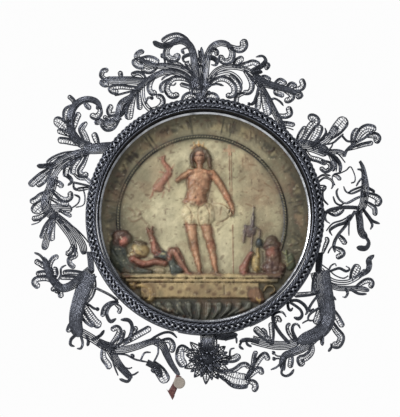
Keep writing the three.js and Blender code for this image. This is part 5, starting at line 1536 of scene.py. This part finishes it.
def paint_spokes(relief):
    """The dark joints that cross the border of the arch."""
    for angle, width in ((9.4, 0.6), (73, 0.7), (79, 0.7), (98.6, 1.1), (124.5, 0.7), (127, 0.7), (171, 0.9)):
        turn = math.radians(angle)
        relief.line((62, 58, 46), width, 0.85, 0.3, [
            42.6 * math.cos(turn), 42.6 * math.sin(turn), 50.6 * math.cos(turn), 50.6 * math.sin(turn)])


def paint_flutes(relief):
    """The fluted foot: rounded ribs that curve in towards the middle, dark between."""
    x = FLUTES["left"]
    inside, _ = relief.mound((FLUTES["left"] + FLUTES["right"]) / 2, -46.5, 28, 8, 0)
    relief.blend(tone((50, 50, 44)), 0.8 * ramp(inside, 0, 0.3) * ramp(-relief.z, 41.2, 42.4))
    while x <= FLUTES["right"]:
        lean = -0.28 * (x - FLUTES["middle"])
        foot = max(FLUTES["foot"], -math.sqrt(max(50.9**2 - (x + lean) ** 2, 0)))
        if foot < FLUTES["top"] - 2:
            relief.form(1.3, FLUTES["colour"], (44, 44, 38), 0.5, [(x, FLUTES["top"] - 1.2, 1.6, 1.3, 0)], [
                ([x, FLUTES["top"] - 1.4, x + 0.12 * lean, (FLUTES["top"] + foot) / 2, x + lean, foot], (3.4, 1.2))])
        x += FLUTES["pitch"]
    relief.blend(tone((46, 46, 40)), 0.75 * ramp(-relief.z, 45.5, 51))


def paint_relief(relief):
    """Everything on the ground of the wax, from the back to the front."""
    for rgb, strength, mounds in TOUCHES_UNDER:
        for mound in mounds:
            relief.touch(rgb, strength, mound)
    paint_border_ground(relief)
    paint_arch(relief)
    paint_writing(relief, random.Random(5))
    paint_spokes(relief)
    paint_flutes(relief)
    for slab in SLABS:
        relief.slab(*slab)
    for x, z in FRIEZE_DOTS:
        relief.form(2.1, (112, 88, 62), (84, 64, 46), 0.5, [(x, z, 0.9, 0.7, 20)], [])
    for form in BENCH_ORNAMENTS + FORMS:
        relief.form(*form)
    for rgb, width, strength, cut, paths in LINES:
        for flat in paths:
            relief.line(rgb, width, strength, cut, flat)
    for rgb, strength, mounds in LIGHT_SHADE_AND_COLOUR_TOUCHES:
        for mound in mounds:
            relief.touch(rgb, strength, mound)
    relief.age()


def disc_grid(cells, radius):
    """A square grid pressed evenly into a disc, row by row."""
    line = np.linspace(-1, 1, cells + 1)
    a, b = np.meshgrid(line, line)
    flat = np.abs(a) >= np.abs(b)
    big, small = np.where(flat, a, b), np.where(flat, b, a)
    turn = np.divide(small, big, out=np.zeros_like(big), where=big != 0) * math.pi / 4
    near, far = big * np.cos(turn), big * np.sin(turn)
    return radius * np.where(flat, near, far).ravel(), radius * np.where(flat, far, near).ravel()


def build_wax():
    """The cast and painted disc of wax, flat behind."""
    chosen = settings("wax")
    cells = chosen.cells
    x, z = disc_grid(cells, WAX_RADIUS)
    relief = Relief(x, z, chosen.centre, chosen.edge)
    paint_relief(relief)
    rim = ramp(-np.hypot(x, z), -WAX_RADIUS + 0.9, -WAX_RADIUS + 1.9)
    face = WAX_FACE + np.clip(relief.height, -0.8, WAX_TOP - WAX_FACE) * rim
    side = cells + 1
    number = np.arange(side * side).reshape(side, side)
    quads = np.stack([number[:-1, :-1], number[:-1, 1:], number[1:, 1:], number[1:, :-1]], axis=-1).reshape(-1, 4)
    loop = np.concatenate([number[0, :-1], number[:-1, -1], number[-1, :0:-1], number[:0:-1, 0]])
    first = side * side
    back = np.stack([x[loop], np.full(len(loop), WAX_BACK), z[loop]], axis=1)
    points = np.vstack([np.stack([x, face, z], axis=1), back, [[0, WAX_BACK, 0]]])
    faces = quads.tolist()
    for k in range(len(loop)):
        after = (k + 1) % len(loop)
        faces.append([int(loop[k]), first + k, first + after, int(loop[after])])
        faces.append([first + k, first + len(loop), first + after])
    mesh = mesh_of("wax", points, faces)
    shades = np.ones((len(points), 4))
    shades[:first, :3] = relief.paint
    shades[first:, :3] = chosen.edge
    mesh.attributes.new("paint", "FLOAT_COLOR", "POINT").data.foreach_set("color", shades.ravel().astype(np.float32))
    mesh.materials.append(finish_of("wax"))
    return finished(new_object("wax", mesh), "wax", "wax_relief")


# The stage


def look_from(target, away, below, aside):
    """A camera place at a distance from a target, below it and to its left."""
    flat = away * math.cos(below)
    return (
        target[0] - flat * math.sin(aside), target[1] - flat * math.cos(aside), target[2] - away * math.sin(below))


def add_light(name, place, target, size, watts):
    lamp = bpy.data.lights.new(name, "AREA")
    lamp.size = size
    lamp.energy = watts
    thing = new_object(name, lamp)
    thing.location = place
    thing.rotation_euler = (Vector(target) - Vector(place)).to_track_quat("-Z", "Y").to_euler()
    return thing


def build_world():
    """White behind the medallion, with dimmer grey light all round it so that the silver keeps its depth."""
    world = bpy.data.worlds.new("studio")
    world.use_nodes = True
    bpy.context.scene.world = world
    nodes, links = world.node_tree.nodes, world.node_tree.links
    seen = nodes["Background"]
    seen.inputs["Color"].default_value = (0.98, 0.98, 0.98, 1)
    lit = nodes.new("ShaderNodeBackground")
    lit.inputs["Color"].default_value = (0.93, 0.96, 1, 1)
    lit.inputs["Strength"].default_value = 0.42
    ray, mix = nodes.new("ShaderNodeLightPath"), nodes.new("ShaderNodeMixShader")
    links.new(ray.outputs["Is Camera Ray"], mix.inputs["Fac"])
    links.new(lit.outputs["Background"], mix.inputs[1])
    links.new(seen.outputs["Background"], mix.inputs[2])
    links.new(mix.outputs["Shader"], nodes["World Output"].inputs["Surface"])


FRAME_CENTRE = (-2.5, 3.75)
FRAME_HEIGHT = 208.5
SENSOR = 36


def build_stage():
    """The camera, the lights, the white world and a pale floor well below."""
    chosen = settings("stage")
    middle = (FRAME_CENTRE[0] * MM, -6 * MM, FRAME_CENTRE[1] * MM)
    camera = new_object("camera", bpy.data.cameras.new("camera"))
    camera.data.sensor_width = SENSOR
    camera.data.lens = SENSOR * chosen.distance / (FRAME_HEIGHT * MM)
    camera.data.clip_end = 20
    camera.location = look_from(middle, chosen.distance, chosen.below, chosen.aside)
    camera.rotation_euler = (Vector(middle) - camera.location).to_track_quat("-Z", "Y").to_euler()
    bpy.context.scene.camera = camera
    add_light("key", (-1.1, -0.75, 0.36), middle, 0.45, 16)
    add_light("top", (-0.25, -0.8, 1.05), middle, 0.22, 6)
    add_light("fill", (0.7, -1.1, 0.2), middle, 0.8, 3)
    add_light("back", (0.3, 0.7, 0.6), middle, 0.5, 4)
    build_world()
    bpy.context.scene.view_settings.view_transform = "Standard"
    side, level = 3.0, -0.75
    floor = bpy.data.meshes.new("floor")
    floor.from_pydata(
        [(-side, -side, level), (side, -side, level), (side, side, level), (-side, side, level)], [], [(0, 1, 2, 3)])
    floor.materials.append(finish_of("floor"))
    new_object("floor", floor)


# The add-on's operators and panel


class MEDALLION_OT_case(bpy.types.Operator):
    """Make the silver case and the ring that holds the wax"""

    bl_idname = "medallion.case"
    bl_label = "Case and bezel"

    def execute(self, context):
        build_case()
        build_bezel()
        return {"FINISHED"}


class MEDALLION_OT_border(bpy.types.Operator):
    """Make the border of twisted wires and wire eyes"""

    bl_idname = "medallion.border"
    bl_label = "Rope border"

    def execute(self, context):
        build_border()
        return {"FINISHED"}


class MEDALLION_OT_foliage(bpy.types.Operator):
    """Make the sprays of wire leaves and the rosette at the foot"""

    bl_idname = "medallion.foliage"
    bl_label = "Foliage"

    def execute(self, context):
        for node in SPRAYS:
            build_spray(node)
        return {"FINISHED"}


class MEDALLION_OT_wax(bpy.types.Operator):
    """Make the painted wax relief"""

    bl_idname = "medallion.wax"
    bl_label = "Wax relief"

    def execute(self, context):
        build_wax()
        return {"FINISHED"}


class MEDALLION_OT_tag(bpy.types.Operator):
    """Make the blank disc and its strip"""

    bl_idname = "medallion.tag"
    bl_label = "Tag"

    def execute(self, context):
        build_tag()
        return {"FINISHED"}


class MEDALLION_OT_stage(bpy.types.Operator):
    """Make the camera, the lights and the floor"""

    bl_idname = "medallion.stage"
    bl_label = "Stage"

    def execute(self, context):
        build_stage()
        return {"FINISHED"}


OPERATORS = (
    MEDALLION_OT_stage, MEDALLION_OT_case, MEDALLION_OT_border, MEDALLION_OT_foliage, MEDALLION_OT_wax,
    MEDALLION_OT_tag,
)


class MEDALLION_PT_panel(bpy.types.Panel):
    """The medallion's pieces and their settings"""

    bl_idname = "MEDALLION_PT_panel"
    bl_label = "Wax medallion"
    bl_space_type = "VIEW_3D"
    bl_region_type = "UI"
    bl_category = "Medallion"

    def draw(self, context):
        for operator in OPERATORS:
            self.layout.operator(operator.bl_idname)
        for name, group in SETTINGS.items():
            box = self.layout.box()
            for title in group.__annotations__:
                box.prop(getattr(context.scene, name), title)


CLASSES = (*SETTINGS.values(), *OPERATORS, MEDALLION_PT_panel)


def register():
    for each in CLASSES:
        bpy.utils.register_class(each)
    for name, group in SETTINGS.items():
        setattr(bpy.types.Scene, name, bpy.props.PointerProperty(type=group))


def unregister():
    for name in SETTINGS:
        delattr(bpy.types.Scene, name)
    for each in reversed(CLASSES):
        bpy.utils.unregister_class(each)


def main():
    register()
    for operator in OPERATORS:
        group, name = operator.bl_idname.split(".")
        getattr(getattr(bpy.ops, group), name)()


if __name__ == "__main__":
    main()
